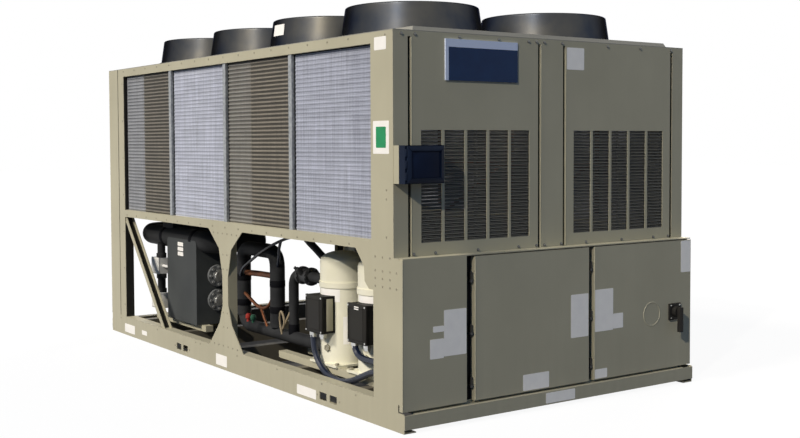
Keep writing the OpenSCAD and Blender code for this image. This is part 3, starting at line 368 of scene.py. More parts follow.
box_plastic = skin_finish("textured_black_plastic", ("#242322", "#2f2e2b"), 0.15, (0.5, 0.65), 0.006, 0.0006,
                          0.1)
hose_rubber = skin_finish("smooth_hose_rubber", ("#0d1526", "#162036"), 0.1, (0.24, 0.34), 0.008, 0.0004, 0.4)
pipe_foam = skin_finish("black_foam_rubber", ("#222325", "#343536"), 0.12, (0.55, 0.75), 0.008, 0.0012, 0.1)
block_foam = skin_finish("grey_foam_rubber", ("#3c3f40", "#494c4c"), 0.25, (0.5, 0.65), 0.01, 0.0012, 0.1)
cream_enamel = skin_finish("cream_enamel", ("#e4e1c9", "#edead6"), 0.2, (0.35, 0.5), 0.012, 0.0004, 0.3)
white_plastic = skin_finish("white_box_plastic", ("#d9d9d4", "#e6e6e2"), 0.1, (0.4, 0.5), 0.006, 0.0004)
label_vinyl = skin_finish("blank_label_vinyl", ("#f6f3ec", "#fdfaf2"), 0.06, (0.3, 0.38), 0.02, 0.0002, 0.9)
green_vinyl = skin_finish("green_label_vinyl", ("#1c8a56", "#22965f"), 0.06, (0.3, 0.42), 0.02, 0.0003)
display_plastic = skin_finish("smooth_display_plastic", ("#0b1423", "#121d31"), 0.15, (0.4, 0.5), 0.006,
                              0.0004, 0.08)
# Black rubber for the tape rings, also laid as painted shade in the coil, door and groove gaps.
black_tape_and_shade = skin_finish("tape_rubber_and_painted_shade", ("#0b0b0e", "#121317"), 0.1, (0.6, 0.8), 0.006, 0.0005, 0.05)
screen_glass = skin_finish("dark_screen_glass", ("#101c33", "#15233d"), 0.2, (0.2, 0.3), 0.2, 0.0001, 0.04)
wire_sheath = skin_finish("tan_wire_sheath", ("#857860", "#a0927a"), 0.05, (0.45, 0.6), 0.006, 0.0004)
print("twelve skins")

# %% [markdown]
# ## The bare plate
# The navy plate high on the control end has a pale blue margin along its top and its left edge. The
# margin is part of the print, so it is drawn in the finish: a step on each of two coordinates.

# %% Navy plate finish
PLATE_LOW, PLATE_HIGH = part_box("name_plate")
MARGIN_TOP, MARGIN_LEFT, FIELD_CLOUD_M = 0.045, 0.022, 0.12
navy_enamel, tree, shader, place = start_material("navy_enamel_plate")
axes = add_node(tree, "SeparateXYZ", {"Vector": place}).outputs
above = add_node(tree, "Math", {0: axes["Z"], 1: PLATE_HIGH.z - MARGIN_TOP}, operation="GREATER_THAN")
beside = add_node(tree, "Math", {0: axes["Y"], 1: PLATE_LOW.y + MARGIN_LEFT}, operation="LESS_THAN")
margin = add_node(tree, "Math", {0: above, 1: beside}, operation="MAXIMUM")
cloud = add_node(tree, "TexNoise", {"Vector": place, "Scale": 1 / FIELD_CLOUD_M, "Detail": 3.0})
field = add_node(tree, "ValToRGB", {"Fac": cloud}, stops=((0.3, "#10294e"), (0.7, "#163258")))
print_tone = add_node(tree, "Mix", {0: margin, 6: field, 7: linear("#dfeaff")}, data_type="RGBA")
feed(tree, shader, {"Base Color": print_tone.outputs[2], "Roughness": 0.4, "Specular IOR Level": 0.15})
print("plate", [round(v, 3) for v in PLATE_HIGH - PLATE_LOW])

# %% [markdown]
# ## Finishes on the CAD nodes
# The CAD shapes are right, so they stay, and each one only gets its finish.

# %% Dress the CAD nodes
FINISHES = {
    beige_coat: ("base_side_rails base_end_rails machine_rails middle_posts front_posts "
                 "mid_rails top_side_rails top_end_rails plenum_floor front_panels rear_panels centre_posts "
                 "cabinet_back cabinet_roof cabinet_floor cabinet_uprights cabinet_cover display_bracket"),
    middle_door_coat: "middle_door",
    right_door_coat: "right_door",
    deck_coat: "fan_deck",
    post_coat: "rear_posts",
    brace_coat: "rear_braces",
    louvre_coat: "front_louvres rear_louvres",
    under_coat: "base_cross_members",
    fin_grooves: "coils_left coils_right",
    galvanised: "coil_dividers",
    copper_tube: "coil_headers",
    navy_enamel: "name_plate",
    shroud_lacquer: "fan_shrouds_left fan_shrouds_right",
    fan_blade: "fan_rotors fan_motors",
    black_steel: "fan_guards door_hinges",
    box_plastic: "handle_plate disconnect_handle terminal_boxes",
    display_plastic: "display_box",
    block_foam: "evaporator",
    pipe_foam: "water_pipe suction_pipes riser_pipes discharge_pipes",
    hose_rubber: "power_conduits",
    cast_cap: "water_caps",
    cream_enamel: "compressors",
    white_plastic: "junction_box",
}
for finish, names in FINISHES.items():
    for name in names.split():
        for holder in cad[name].material_slots:
            holder.material = finish
print(sum(len(names.split()) for names in FINISHES.values()), "nodes dressed")

# %% [markdown]
# ## Modelling helpers
# New pieces start from a primitive and are shaped in edit mode. An operator acts on all that is selected,
# so everything is deselected first, and faces or edges are then picked by their direction. Screws, nuts
# and lids are all made in one way: a face is inset, then pushed out or in.

# %% Selecting and modifying


def only(piece=None):
    """Leave edit mode, deselect everything, and select one piece."""
    if bpy.context.object and bpy.context.object.mode != "OBJECT":
        bpy.ops.object.mode_set(mode="OBJECT")
    bpy.ops.object.select_all(action="DESELECT")
    if piece:
        piece.select_set(True)
        bpy.context.view_layer.objects.active = piece


def modify(piece, kind, **settings):
    """Add one modifier, set it up and apply it."""
    only(piece)
    bpy.ops.object.modifier_add(type=kind)
    modifier = piece.modifiers[-1]
    for name, value in settings.items():
        setattr(modifier, name, value)
    bpy.ops.object.modifier_apply(modifier=modifier.name)
    return piece


def soften(piece, width, steps=2):
    """Round the sharp edges of a piece."""
    return modify(piece, "BEVEL", width=width, segments=steps, limit_method="ANGLE")


def stack(piece, rows, step):
    """Repeat a piece upwards."""
    return modify(piece, "ARRAY", count=rows, use_relative_offset=False, use_constant_offset=True,
                  constant_offset_displace=(0, 0, step))


def pick_none(piece, kind):
    """Set the select mode of a piece to faces or edges, with none selected."""
    only(piece)
    bpy.ops.object.mode_set(mode="EDIT")
    bpy.ops.mesh.select_mode(type=kind)
    bpy.ops.mesh.select_all(action="DESELECT")
    bpy.ops.object.mode_set(mode="OBJECT")


def pick_faces(piece, test):
    """Enter edit mode with the faces selected whose normal passes a test."""
    pick_none(piece, "FACE")
    for face in piece.data.polygons:
        face.select = test(face.normal)
    bpy.ops.object.mode_set(mode="EDIT")


def pick_edges(piece, axis):
    """Enter edit mode with the edges selected that run along one axis."""
    pick_none(piece, "EDGE")
    points = piece.data.vertices
    for edge in piece.data.edges:
        run = points[edge.vertices[1]].co - points[edge.vertices[0]].co
        edge.select = abs(run.normalized()[axis]) > 0.99
    bpy.ops.object.mode_set(mode="EDIT")


print("selection helpers ready")

# %% Shaping
UP, DOWN, TO_END, TO_REAR, TO_SIDE, TO_FAR = (0, 0, 1), (0, 0, -1), (1, 0, 0), (-1, 0, 0), (0, -1, 0), (0, 1, 0)


def block(low, high, rounding=0.0, steps=2):
    """A box between two corners, with its edges rounded."""
    low, high = Vector(low), Vector(high)
    only()
    bpy.ops.mesh.primitive_cube_add(size=1)
    piece = bpy.context.object
    bpy.ops.object.mode_set(mode="EDIT")
    bpy.ops.transform.resize(value=high - low, center_override=(0, 0, 0))
    bpy.ops.transform.translate(value=(low + high) / 2)
    only(piece)
    return soften(piece, rounding, steps) if rounding else piece


def drum(sides, radius, depth, foot=0.0):
    """A drum or a prism round the Z axis, from a height upwards."""
    only()
    bpy.ops.mesh.primitive_cylinder_add(vertices=sides, radius=radius, depth=depth,
                                        location=(0, 0, foot + depth / 2))
    return bpy.context.object


def narrow(piece, direction, scale):
    """Scale the faces that look along a direction."""
    pick_faces(piece, lambda normal: normal.dot(Vector(direction)) > 0.9)
    bpy.ops.transform.resize(value=scale)
    only(piece)
    return piece


def raise_face(piece, direction, margin, height, taper=None, limit=0.9):
    """Inset the faces that look along a direction and push them out, or in where the height is negative."""
    pick_faces(piece, lambda normal: normal.dot(Vector(direction)) > limit)
    bpy.ops.mesh.inset(thickness=margin)
    bpy.ops.mesh.extrude_region_move(TRANSFORM_OT_translate={"value": Vector(direction) * height})
    if taper:
        bpy.ops.transform.resize(value=taper)
    only(piece)
    return piece


print("shaping helpers ready")

# %% Copying and keeping
MIRROR_Y = Matrix.Scale(-1, 4, (0, 1, 0))
STAY = Matrix.Identity(4)
BOTH_SIDES = (STAY, MIRROR_Y)


def join(pieces):
    """Join pieces into the first one."""
    only(pieces[0])
    for piece in pieces:
        piece.select_set(True)
    if len(pieces) > 1:
        bpy.ops.object.join()
    return pieces[0]


def copies(piece, places):
    """Copy a piece to each place, each copy with its own mesh, and join them. The piece itself goes."""
    made = []
    for place in places:
        twin = piece.copy()
        twin.data = piece.data.copy()
        twin.data.transform(piece.matrix_world)
        twin.matrix_world = STAY
        twin.data.transform(place)
        if place.determinant() < 0:
            twin.data.flip_normals()
        bpy.context.collection.objects.link(twin)
        made.append(twin)
    bpy.data.objects.remove(piece)
    return join(made)


def at(*point):
    """The place of a piece that is moved to a point."""
    return Matrix.Translation(point)


def facing(point, normal):
    """The place of a piece made on the origin, whose Z axis then points along a normal."""
    return at(*point) @ Vector(normal).to_track_quat("Z", "Y").to_matrix().to_4x4()


def round_places(radius, count, start=0.0):
    """Places spread over a circle about the Z axis."""
    turns = [start + k * 2 * math.pi / count for k in range(count)]
    return [at(radius * math.cos(turn), radius * math.sin(turn), 0) for turn in turns]


def keep(piece, name, body, material, smooth=35):
    """Name a finished piece, put its place in its mesh, dress it and let it ride on its body."""
    only(piece)
    bpy.ops.object.transform_apply(location=True, rotation=True, scale=True)
    bpy.ops.object.shade_smooth_by_angle(angle=math.radians(smooth))
    piece.name = piece.data.name = name
    piece.data.materials.clear()
    piece.data.materials.append(material)
    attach(piece, body)
    print(name, len(piece.data.polygons), "faces on", body)


print("copying helpers ready")

# %% [markdown]
# ## Coil ridges
# Every tube row pushes the fins out into a ridge, and the sun makes the stripes. One ridge is a long
# block whose outer face is narrowed, and an array stacks it up the coil. In the bright bays the fins stand
# nearly level with their tubes, so the ridges there are lower. Copies fill the bays of both sides.

# %% Coil ridges
BAY_M = (COIL_X1 - COIL_X0) / 4
COIL_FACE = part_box("coils_left")[0].y
COIL_FOOT, COIL_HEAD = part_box("coils_left")[0].z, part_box("coils_left")[1].z
RIDGE_ROWS, DULL_OUT, BRIGHT_OUT = 41, 0.006, 0.0025
HEAD_GAP, DIVIDER_HALF, GAP_W, SINK = 0.006, 0.020, 0.014, 0.0005
ridge_pitch = (COIL_HEAD - HEAD_GAP - COIL_FOOT) / RIDGE_ROWS
ridge_h = ridge_pitch * 0.6


def ridge_stack(out, places):
    """The ridges of one bay, copied to each place."""
    foot = COIL_FOOT + ridge_pitch * 0.2
    ridge = block((COIL_X0 + DIVIDER_HALF + GAP_W, COIL_FACE - out, foot),
                  (COIL_X0 + BAY_M - DIVIDER_HALF, COIL_FACE + SINK, foot + ridge_h))
    narrow(ridge, TO_SIDE, (1, 1, 0.45))
    return copies(stack(ridge, RIDGE_ROWS, ridge_pitch), places)


for name, side in (("coil_ridges_left", STAY), ("coil_ridges_right", MIRROR_Y)):
    bays = [side @ at(BAY_M * k, 0, 0) for k in range(4)]
    stacks = [ridge_stack(DULL_OUT, bays[0::2]), ridge_stack(BRIGHT_OUT, bays[1::2])]
    keep(join(stacks), name, "machine", fin_ridges, 25)
print("ridges every", round(ridge_pitch * 1000, 1), "mm")

# %% [markdown]
# ## Coil gaps
# A dark slit shows at the left of each coil and under the top rail, where the coil casing stands back
# from its frame and lies in shade. Thin black strips stand for that shade: painted shade.

# %% Coil gaps
# Black strips over the shaded slits: painted shade.
SLIT_OUT, HEAD_OUT, SLIT_ROUND = 0.002, 0.0015, 0.0006
slits = []
for bay in range(4):
    left = COIL_X0 + BAY_M * bay + (DIVIDER_HALF if bay else 0)
    slits.append(block((left, COIL_FACE - SLIT_OUT, COIL_FOOT),
                       (left + GAP_W, COIL_FACE + SINK, COIL_HEAD), SLIT_ROUND))
slits.append(block((COIL_X0, COIL_FACE - HEAD_OUT, COIL_HEAD - HEAD_GAP),
                   (COIL_X1, COIL_FACE + SINK, COIL_HEAD), SLIT_ROUND))
keep(copies(join(slits), BOTH_SIDES), "coil_gap_shade_strips", "machine", black_tape_and_shade)

# %% [markdown]
# ## Rear floor sheet
# Behind the coils a folded sheet closes the floor of the air space up to the rear panels, so that no
# daylight shows through the last fans. Its rear edge is turned down.

# %% Rear floor sheet
floor_low, floor_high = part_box("plenum_floor")
REAR_IN, SHEET_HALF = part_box("rear_panels")[1].x + 0.004, 1.072
LIP_H, LIP_T = 0.025, 0.004
sheet = block((REAR_IN, -SHEET_HALF, floor_low.z), (floor_low.x, SHEET_HALF, floor_high.z))
lip = block((REAR_IN, -SHEET_HALF, floor_low.z - LIP_H), (REAR_IN + LIP_T, SHEET_HALF, floor_low.z))
keep(soften(join([sheet, lip]), 0.0012), "rear_floor_sheet", "machine", beige_coat)

# %% [markdown]
# ## Screws
# Flanged sheet metal screws hold the panels and rails. One head is a low drum whose top is inset and
# raised, with a few dozen faces, because it is copied some hundreds of times. Their places follow the
# photo: rows along the rails, a grid on the gusset plates, and single ones on the posts.

# %% Screw places
SIDE_Y, END_X, REAR_X = -1.150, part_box("front_panels")[1].x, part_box("rear_panels")[0].x
POST_X, TOP_ROW_Z, MID_ROW_Z, BASE_ROW_Z, POCKET_ROW_Z = -0.0225, 2.150, 0.988, 0.128, 0.055
PANEL_FOOT_Z, REAR_FOOT_Z, DECK_Z, DECK_Y = 0.953, 0.985, 2.172, 1.125
side_spots = [(-1.83 + 0.226 * k, TOP_ROW_Z) for k in range(16)]
side_spots += [(-1.79 + 0.197 * k, MID_ROW_Z) for k in range(18)]
side_spots += [(x, z) for x in (1.825, 1.897, 1.969) for z in (0.937, 0.861, 0.819, 0.775)]
side_spots += [(2.030, 0.775), (2.030, 0.861), (1.938, 1.306), (1.938, 1.256), (1.936, 1.049), (1.930, 2.146)]
side_spots += [(POST_X + 0.07 * k, z) for z in (0.945, 0.168) for k in (-2.5, -1.5, -0.5, 0.5, 1.5, 2.5)]
side_spots += [(POST_X + dx, z) for dx in (-0.03, 0.03) for z in (0.80, 0.70, 0.40, 0.30)]
side_spots += [(x, BASE_ROW_Z) for x in (-1.95, -1.2, -0.508, -0.431, 0.145, 0.70, 1.25, 1.62)]
side_spots += [(pocket + dx, POCKET_ROW_Z) for pocket in (-0.7435, 1.3195) for dx in (-0.125, 0.125)]
side_spots += [(-1.86, 0.25 + 0.3 * k) for k in range(7)]
TOP_YS = (-1.096, -1.005, -0.699, -0.412, -0.186, -0.124, -0.062, 0.081, 0.462, 0.751, 1.036)
FOOT_YS = (-1.016, -0.868, -0.565, -0.261, -0.122, -0.059, 0.076, 0.282, 0.591, 0.879, 1.018)
places, end_places = [], []
for x, z in side_spots:
    places += [facing((x, SIDE_Y, z), TO_SIDE), facing((x, -SIDE_Y, z), TO_FAR)]
for k in range(14):
    places += [facing((-2.0 + 0.3 * k, y, DECK_Z), UP) for y in (-DECK_Y, DECK_Y)]
for ys, front_z, rear_z in ((TOP_YS, TOP_ROW_Z, TOP_ROW_Z), (FOOT_YS, PANEL_FOOT_Z, REAR_FOOT_Z)):
    end_places += [facing((END_X, y, front_z), TO_END) for y in ys]
    places += [facing((REAR_X, -y, rear_z), TO_REAR) for y in ys]
print(len(places), "screws on the sides, roof and rear,", len(end_places), "bolts on the control end")

# %% Screw heads
screw = raise_face(drum(12, 0.0068, 0.001), UP, 0.002, 0.0018, taper=(0.85, 0.85, 1))
keep(copies(screw, places), "frame_screws", "machine", zinc_screw, 30)

# %% End bolts
head = soften(drum(6, 0.007, 0.006, 0.002), 0.0012)
bolt = join([drum(16, 0.0095, 0.002), head])
keep(copies(bolt, end_places), "end_bolts", "machine", dull_bolt, 30)

# %% [markdown]
# ## Painted shade in the door and cabinet gaps
# Between the cover and the doors the photo shows black upright gaps. They are shade in the gaps, so each
# gap gets a thin black strip with rounded edges on the upright behind, well clear of the swinging doors:
# painted shade. The grooves beside the end panels get such strips too.

# %% Door gap shade strips
UPRIGHT_X, GAP_STRIP_OUT, GAP_STRIP_Z0, GAP_STRIP_Z1 = 2.0475, 0.0008, 0.118, 0.928
gap_strips = [block((UPRIGHT_X - SINK, low_y, GAP_STRIP_Z0), (UPRIGHT_X + GAP_STRIP_OUT, high_y, GAP_STRIP_Z1), 0.0004)
         for low_y, high_y in ((-0.7065, -0.6535), (0.2365, 0.2755))]
keep(join(gap_strips), "cabinet_gap_shade_strips", "machine", black_tape_and_shade)

# %% Groove shade strips
FLIP_X = at(END_X + REAR_X, 0, 0) @ Matrix.Scale(-1, 4, (1, 0, 0))
GROOVE_YS, GROOVE_W, GROOVE_TOP = (0.0895, 1.0315), 0.021, 2.1365
# Black strips in the shaded grooves: painted shade.
strips = []
for low_z, end in ((0.9405, STAY), (0.971, FLIP_X)):
    pair = [block((END_X - 0.018, low_y, low_z), (END_X - 0.013, low_y + GROOVE_W, GROOVE_TOP), 0.001)
            for low_y in GROOVE_YS]
    strips.append(copies(join(pair), (end, end @ MIRROR_Y)))
keep(join(strips), "end_groove_shade_strips", "machine", black_tape_and_shade)

# %% [markdown]
# ## Grille wires
# Between every two louvre blades a thin wire runs across the windows of the end panels. It is made as
# the coil ridges are: one long block with a narrowed face, stacked by an array.

# %% Grille wires
GRILLE_Z, BLADE_STEP, BLADE_ROWS, GRILLE_MID, WIRE_HALF = 1.012, 0.020, 31, 0.571, 0.3985
wire = block((END_X - 0.0078, GRILLE_MID - WIRE_HALF, GRILLE_Z + 0.0105),
             (END_X - 0.0038, GRILLE_MID + WIRE_HALF, GRILLE_Z + 0.0140))
wire = stack(narrow(wire, TO_END, (1, 1, 0.6)), BLADE_ROWS, BLADE_STEP)
wires = copies(wire, (STAY, MIRROR_Y, FLIP_X, FLIP_X @ MIRROR_Y))
keep(wires, "grille_wires", "machine", louvre_coat, 25)

# %% [markdown]
# ## Folded edges
# The panels and doors are folded sheets. A fold is never sharp: its bend, a few millimetres in radius,
# catches the sun as a thin bright line along each upright edge. A slim rounded bead on each left edge
# gives that line.

# %% Folded edges
FOLD_W, FOLD_OUT, FOLD_END = 0.008, 0.0022, 0.003
DOOR_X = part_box("middle_door")[1].x


def fold(face_x, low_y, low_z, high_z):
    """An upright bead on the left edge of a sheet that faces +X, a little shorter than the sheet."""
    bead = block((face_x - 0.001, low_y, low_z + FOLD_END), (face_x + FOLD_OUT, low_y + FOLD_W, high_z - FOLD_END))
    return soften(narrow(bead, TO_END, (1, 0.35, 0.998)), 0.0008)


panel_low, panel_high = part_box("front_panels")
post_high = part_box("centre_posts")[1]
upright = [fold(END_X, y, panel_low.z, panel_high.z)
           for y in (panel_low.y, -post_high.y, -panel_low.y - (panel_high.y - 0.110))]
cover_low, cover_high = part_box("cabinet_cover")
upright.append(fold(DOOR_X, cover_low.y, cover_low.z, cover_high.z))
keep(join(upright), "folded_edges_fixed", "machine", beige_coat)
for door, door_y in (("middle_door", -0.651), ("right_door", 0.278)):
    door_low, door_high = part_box(door)
    bead = fold(DOOR_X, door_y, door_low.z, door_high.z)
    keep(bead, "folded_edge_" + door, door, beige_coat)

# %% [markdown]
# ## Blank labels
# The cabinet and the frame carry stickers. Here they stay blank: thin white vinyl with rounded corners,
# in the places and sizes that the photo shows.

# %% Label helpers
LABEL_T, LABEL_SINK, LABEL_CORNER = 0.0006, 0.0001, 0.006
RAIL_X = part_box("base_end_rails")[1].x


def label(low, high, axis):
    """A thin block with the corners of its face rounded. The face looks along an axis."""
    piece = block(low, high)
    pick_edges(piece, axis)
    bpy.ops.mesh.bevel(offset=LABEL_CORNER, segments=3, affect="EDGES")
    only(piece)
    return piece


def end_label(face_x, low_y, high_y, low_z, high_z):
    """A blank label on a face that looks along +X."""
    return label((face_x - LABEL_SINK, low_y, low_z), (face_x + LABEL_T, high_y, high_z), 0)


def side_label(face_y, low_x, high_x, low_z, high_z, thickness=LABEL_T):
    """A blank label on a face that looks along -Y."""
    return label((low_x, face_y - thickness, low_z), (high_x, face_y + LABEL_SINK, high_z), 1)


print("labels are", LABEL_T * 1000, "mm thick")

# %% Labels on the frame
EVAP_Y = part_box("evaporator")[0].y
fixed = [end_label(DOOR_X, -0.869, -0.712, 0.388, 0.644), end_label(DOOR_X, -0.965, -0.8695, 0.381, 0.490),
         end_label(DOOR_X, -0.944, -0.8695, 0.527, 0.560), end_label(RAIL_X, -0.134, 0.100, 0.030, 0.092),
         end_label(END_X, 0.121, 0.263, 1.998, 2.130),
         side_label(SIDE_Y, 1.825, 1.940, 2.067, 2.138), side_label(SIDE_Y, 1.811, 1.965, 1.502, 1.682),
         side_label(SIDE_Y, -1.868, -1.657, 0.024, 0.093), side_label(SIDE_Y, -1.509, -1.409, 0.048, 0.083),
         side_label(SIDE_Y, -0.177, -0.008, 0.022, 0.099), side_label(SIDE_Y, 0.953, 1.181, 0.020, 0.078)]
fixed.append(side_label(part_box("terminal_boxes")[0].y - 0.011, 1.497, 1.545, 0.598, 0.617))
fixed += [side_label(EVAP_Y, -1.140, -1.040, 0.700 + 0.0375 * k, 0.730 + 0.0375 * k) for k in range(3)]
keep(join(fixed), "blank_labels_frame", "machine", label_vinyl)
patch = side_label(SIDE_Y - LABEL_T, 1.840, 1.936, 1.535, 1.650, 0.0004)
keep(patch, "green_label_patch", "machine", green_vinyl)

# %% Labels on the doors
middle = [end_label(DOOR_X, 0.085, 0.229, 0.391, 0.651), end_label(DOOR_X, -0.294, -0.091, 0.121, 0.215)]
keep(join(middle), "blank_labels_middle_door", "middle_door", label_vinyl)
right = [end_label(DOOR_X, 0.284, 0.440, 0.408, 0.666), end_label(DOOR_X, 0.4405, 0.527, 0.414, 0.507),
         end_label(DOOR_X, 1.056, 1.146, 0.720, 0.924), end_label(DOOR_X, 0.284, 0.390, 0.121, 0.178)]
keep(join(right), "blank_labels_right_door", "right_door", label_vinyl)

# %% [markdown]
# ## Right door: knock-out and switch plate
# Beside the main switch the door has a round knock-out, a pressed ring that an installer can punch
# through, with small dimples where the ring is still tied to the sheet. The switch plate has a screw in
# each corner.

# %% Knock-out ring
KNOCK_Y, KNOCK_Z, KNOCK_R, TIE_TURNS = 0.788, 0.473, 0.074, (0.6, 2.2, 3.75, 5.4)


def flatten(piece, share):
    """Squash a new piece along Z."""
    bpy.ops.object.mode_set(mode="EDIT")
    bpy.ops.transform.resize(value=(1, 1, share), center_override=(0, 0, 0))
    only(piece)
    return piece


only()
bpy.ops.mesh.primitive_torus_add(major_radius=KNOCK_R, minor_radius=0.0055, major_segments=64,
                                 minor_segments=10)
ring = flatten(bpy.context.object, 0.5)
only()
bpy.ops.mesh.primitive_uv_sphere_add(segments=14, ring_count=8, radius=0.008)
dimple = flatten(bpy.context.object, 0.35)
dimples = copies(dimple, [at(KNOCK_R * math.cos(turn), KNOCK_R * math.sin(turn), 0) for turn in TIE_TURNS])
ring = copies(join([ring, dimples]), [facing((DOOR_X, KNOCK_Y, KNOCK_Z), TO_END)])
keep(ring, "door_knock_out", "right_door", beige_coat)

# %% Switch plate screws
PLATE_X, CORNER_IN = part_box("handle_plate")[1].x, 0.012
low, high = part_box("handle_plate")
corners = [facing((PLATE_X, y, z), TO_END) for y in (low.y + CORNER_IN, high.y - CORNER_IN)
           for z in (low.z + CORNER_IN, high.z - CORNER_IN)]
head = raise_face(drum(16, 0.005, 0.002), UP, 0.0025, -0.0012)
keep(copies(head, corners), "switch_plate_screws", "right_door", bright_fitting)

# %% [markdown]
# ## Display box
# The black box at the corner has a hinged front with a dark window. The front is a rounded slab whose
# face is inset and sunk inside a rim, the window lies in it, and three hinge knuckles sit on its left.

# %% Display front
low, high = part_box("display_box")
front = block((high.x - 0.001, low.y + 0.010, low.z + 0.006), (high.x + 0.012, high.y - 0.006, high.z - 0.006),
              0.004, 3)
raise_face(front, TO_END, 0.022, -0.004, limit=0.95)
knuckle = soften(drum(16, 0.006, 0.04, -0.02), 0.001)
knuckles = copies(knuckle, [at(high.x + 0.004, low.y + 0.006, low.z + 0.04 + 0.063 * k) for k in range(3)])
keep(join([front, knuckles]), "display_front", "machine", display_plastic)
window = block((high.x + 0.0075, low.y + 0.036, low.z + 0.032), (high.x + 0.0095, high.y - 0.032, high.z - 0.032),
               0.0008)
keep(window, "display_window", "machine", screen_glass)

# %% [markdown]
# ## Compressors
# The scroll compressors carry a blank label round the shell, a small sight glass, and four bolts on the
# foot plate. The label is a sector of a drum: a cylinder with all faces deleted that look elsewhere.

# %% Compressor labels
COMP_XS, COMP_Y, COMP_R, COMP_FOOT = (1.0395, 1.4695), -0.860, 0.146, 0.209
LABEL_LIFT = 0.0008
comp_places = [side @ at(x, COMP_Y, 0) for side in BOTH_SIDES for x in COMP_XS]


def shell_label(low_z, high_z, middle_deg, half_deg, low_r, high_r):
    """A label that follows a round shell about the axis at the origin."""
    only()
    bpy.ops.mesh.primitive_cone_add(vertices=96, radius1=low_r + LABEL_LIFT, radius2=high_r + LABEL_LIFT,
                                    depth=high_z - low_z, end_fill_type="NOTHING",
                                    location=(0, 0, (low_z + high_z) / 2))
    sector = bpy.context.object
    bpy.ops.object.transform_apply(location=True)
    centre = Vector((math.cos(math.radians(middle_deg)), math.sin(math.radians(middle_deg)), 0))
    pick_faces(sector, lambda normal: Vector((normal.x, normal.y, 0)).normalized().dot(centre)
               < math.cos(math.radians(half_deg)))
    bpy.ops.mesh.delete(type="FACE")
    only(sector)
    return modify(sector, "SOLIDIFY", thickness=LABEL_T, offset=0)


wraps = [shell_label(0.590, 0.668, -73, 31, COMP_R, COMP_R), shell_label(0.330, 0.500, -27, 7, COMP_R, COMP_R)]
keep(copies(join(wraps), comp_places), "compressor_labels", "machine", label_vinyl)

# %% Sight glasses and foot bolts
GLASS_TURN, GLASS_Z, FOOT_HALF = math.radians(-75), 0.305, 0.135
glass = soften(raise_face(drum(6, 0.022, 0.014, -0.002), UP, 0.007, -0.004), 0.0012)
outward = Vector((math.cos(GLASS_TURN), math.sin(GLASS_TURN), 0))
spot = facing(outward * COMP_R + Vector((0, 0, GLASS_Z)), outward)
bolt = soften(drum(6, 0.015, 0.012), 0.0015)
feet = [at(dx, dy, COMP_FOOT) for dx in (-FOOT_HALF, FOOT_HALF) for dy in (-FOOT_HALF, FOOT_HALF)]
hardware = join([copies(glass, [spot]), copies(bolt, feet)])
keep(copies(hardware, comp_places), "compressor_fittings", "machine", zinc_screw)

# %% [markdown]
# ## Terminal boxes
# Each compressor has a black terminal box in front. Its lid is a rounded slab with a raised field and a
# screw in each corner, and the power conduit leaves through a bright gland nut in its floor. The left
# box of each pair has a pale strip on its side.

# %% Terminal box lids
TERM_W, TERM_DX = 0.190, (-0.008, 0.046)
TERM_Y, TERM_Z0, TERM_Z1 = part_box("terminal_boxes")[0].y, 0.400, 0.628
LID_OUT, LID_HALF, LID_OVER = 0.007, TERM_W / 2 + 0.003, 0.002
lid_places = [side @ at(x + dx, TERM_Y, 0) for side in BOTH_SIDES for x, dx in zip(COMP_XS, TERM_DX)]
lid = block((-LID_HALF, -LID_OUT, TERM_Z0 - LID_OVER), (LID_HALF, 0.012, TERM_Z1 + LID_OVER), 0.004, 3)
raise_face(lid, TO_SIDE, 0.018, 0.004, (0.96, 1, 0.97), 0.95)
keep(copies(lid, lid_places), "terminal_box_lids", "machine", box_plastic)

# %% Lid screws, gland nuts and side strips
GLANDS = ((0.9815, -1.046), (1.0885, -1.040), (1.4555, -1.046), (1.5775, -1.040))
head = soften(drum(12, 0.006, 0.003), 0.001)
head = copies(head, [facing((x, -LID_OUT, z), TO_SIDE) for x in (-0.087, 0.087)
                     for z in (TERM_Z0 + 0.010, TERM_Z1 - 0.010)])
heads = copies(head, lid_places)
nut = soften(raise_face(drum(6, 0.027, 0.022, TERM_Z0 - 0.022), DOWN, 0.005, 0.014), 0.0015)
nuts = copies(nut, [side @ at(x, y, 0) for side in BOTH_SIDES for x, y in GLANDS])
keep(join([heads, nuts]), "terminal_box_fittings", "machine", bright_fitting)
strip_x = COMP_XS[0] + TERM_DX[0] + TERM_W / 2
strip = block((strip_x - SINK, -1.040, 0.415), (strip_x + 0.004, -0.995, 0.612), 0.002)
keep(copies(strip, BOTH_SIDES), "terminal_box_side_strips", "machine", beige_coat)

# %% [markdown]
# ## Evaporator caps and foam pipes
# The evaporator's two end caps are bolted, and the insulated pipes show a ring of tape at each joint of
# the foam. The suction arch has a second, thicker layer of foam. A bent tube is drawn as a curve near a
# few points, given a round section and then made a mesh.

# %% Cap bolts
CAP_X, CAP_Y, CAP_ZS, CAP_BOLT_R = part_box("water_caps")[1].x, -0.840, (0.382, 0.567), 0.066
bolts = copies(soften(drum(6, 0.011, 0.010), 0.0012), round_places(CAP_BOLT_R, 8))
boss = soften(raise_face(drum(40, 0.045, 0.006), UP, 0.012, 0.008), 0.0015)
cap_places = [facing((CAP_X, CAP_Y, z), TO_END) for z in CAP_ZS]
keep(copies(join([bolts, boss]), cap_places), "cap_bolts", "machine", bright_fitting)

# %% Foam tape rings
PIPE_Y, LOW_RUN_Z, SUCTION_R, SLEEVE_R, RISER_R = -0.850, 0.259, 0.042, 0.052, 0.034
LEG_XS, RISER_X = (-0.3275, 0.1725), 0.3975
WATER_TAPE_XS, LEG_TAPE_ZS = (-0.93, -1.48), (0.42, 0.60)
low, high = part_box("water_pipe")
water_r = (high.z - low.z) / 2


def tape_ring(radius, width):
    """A short sleeve with rounded edges, round the Z axis."""
    return soften(drum(40, radius, width, -width / 2), 0.001)


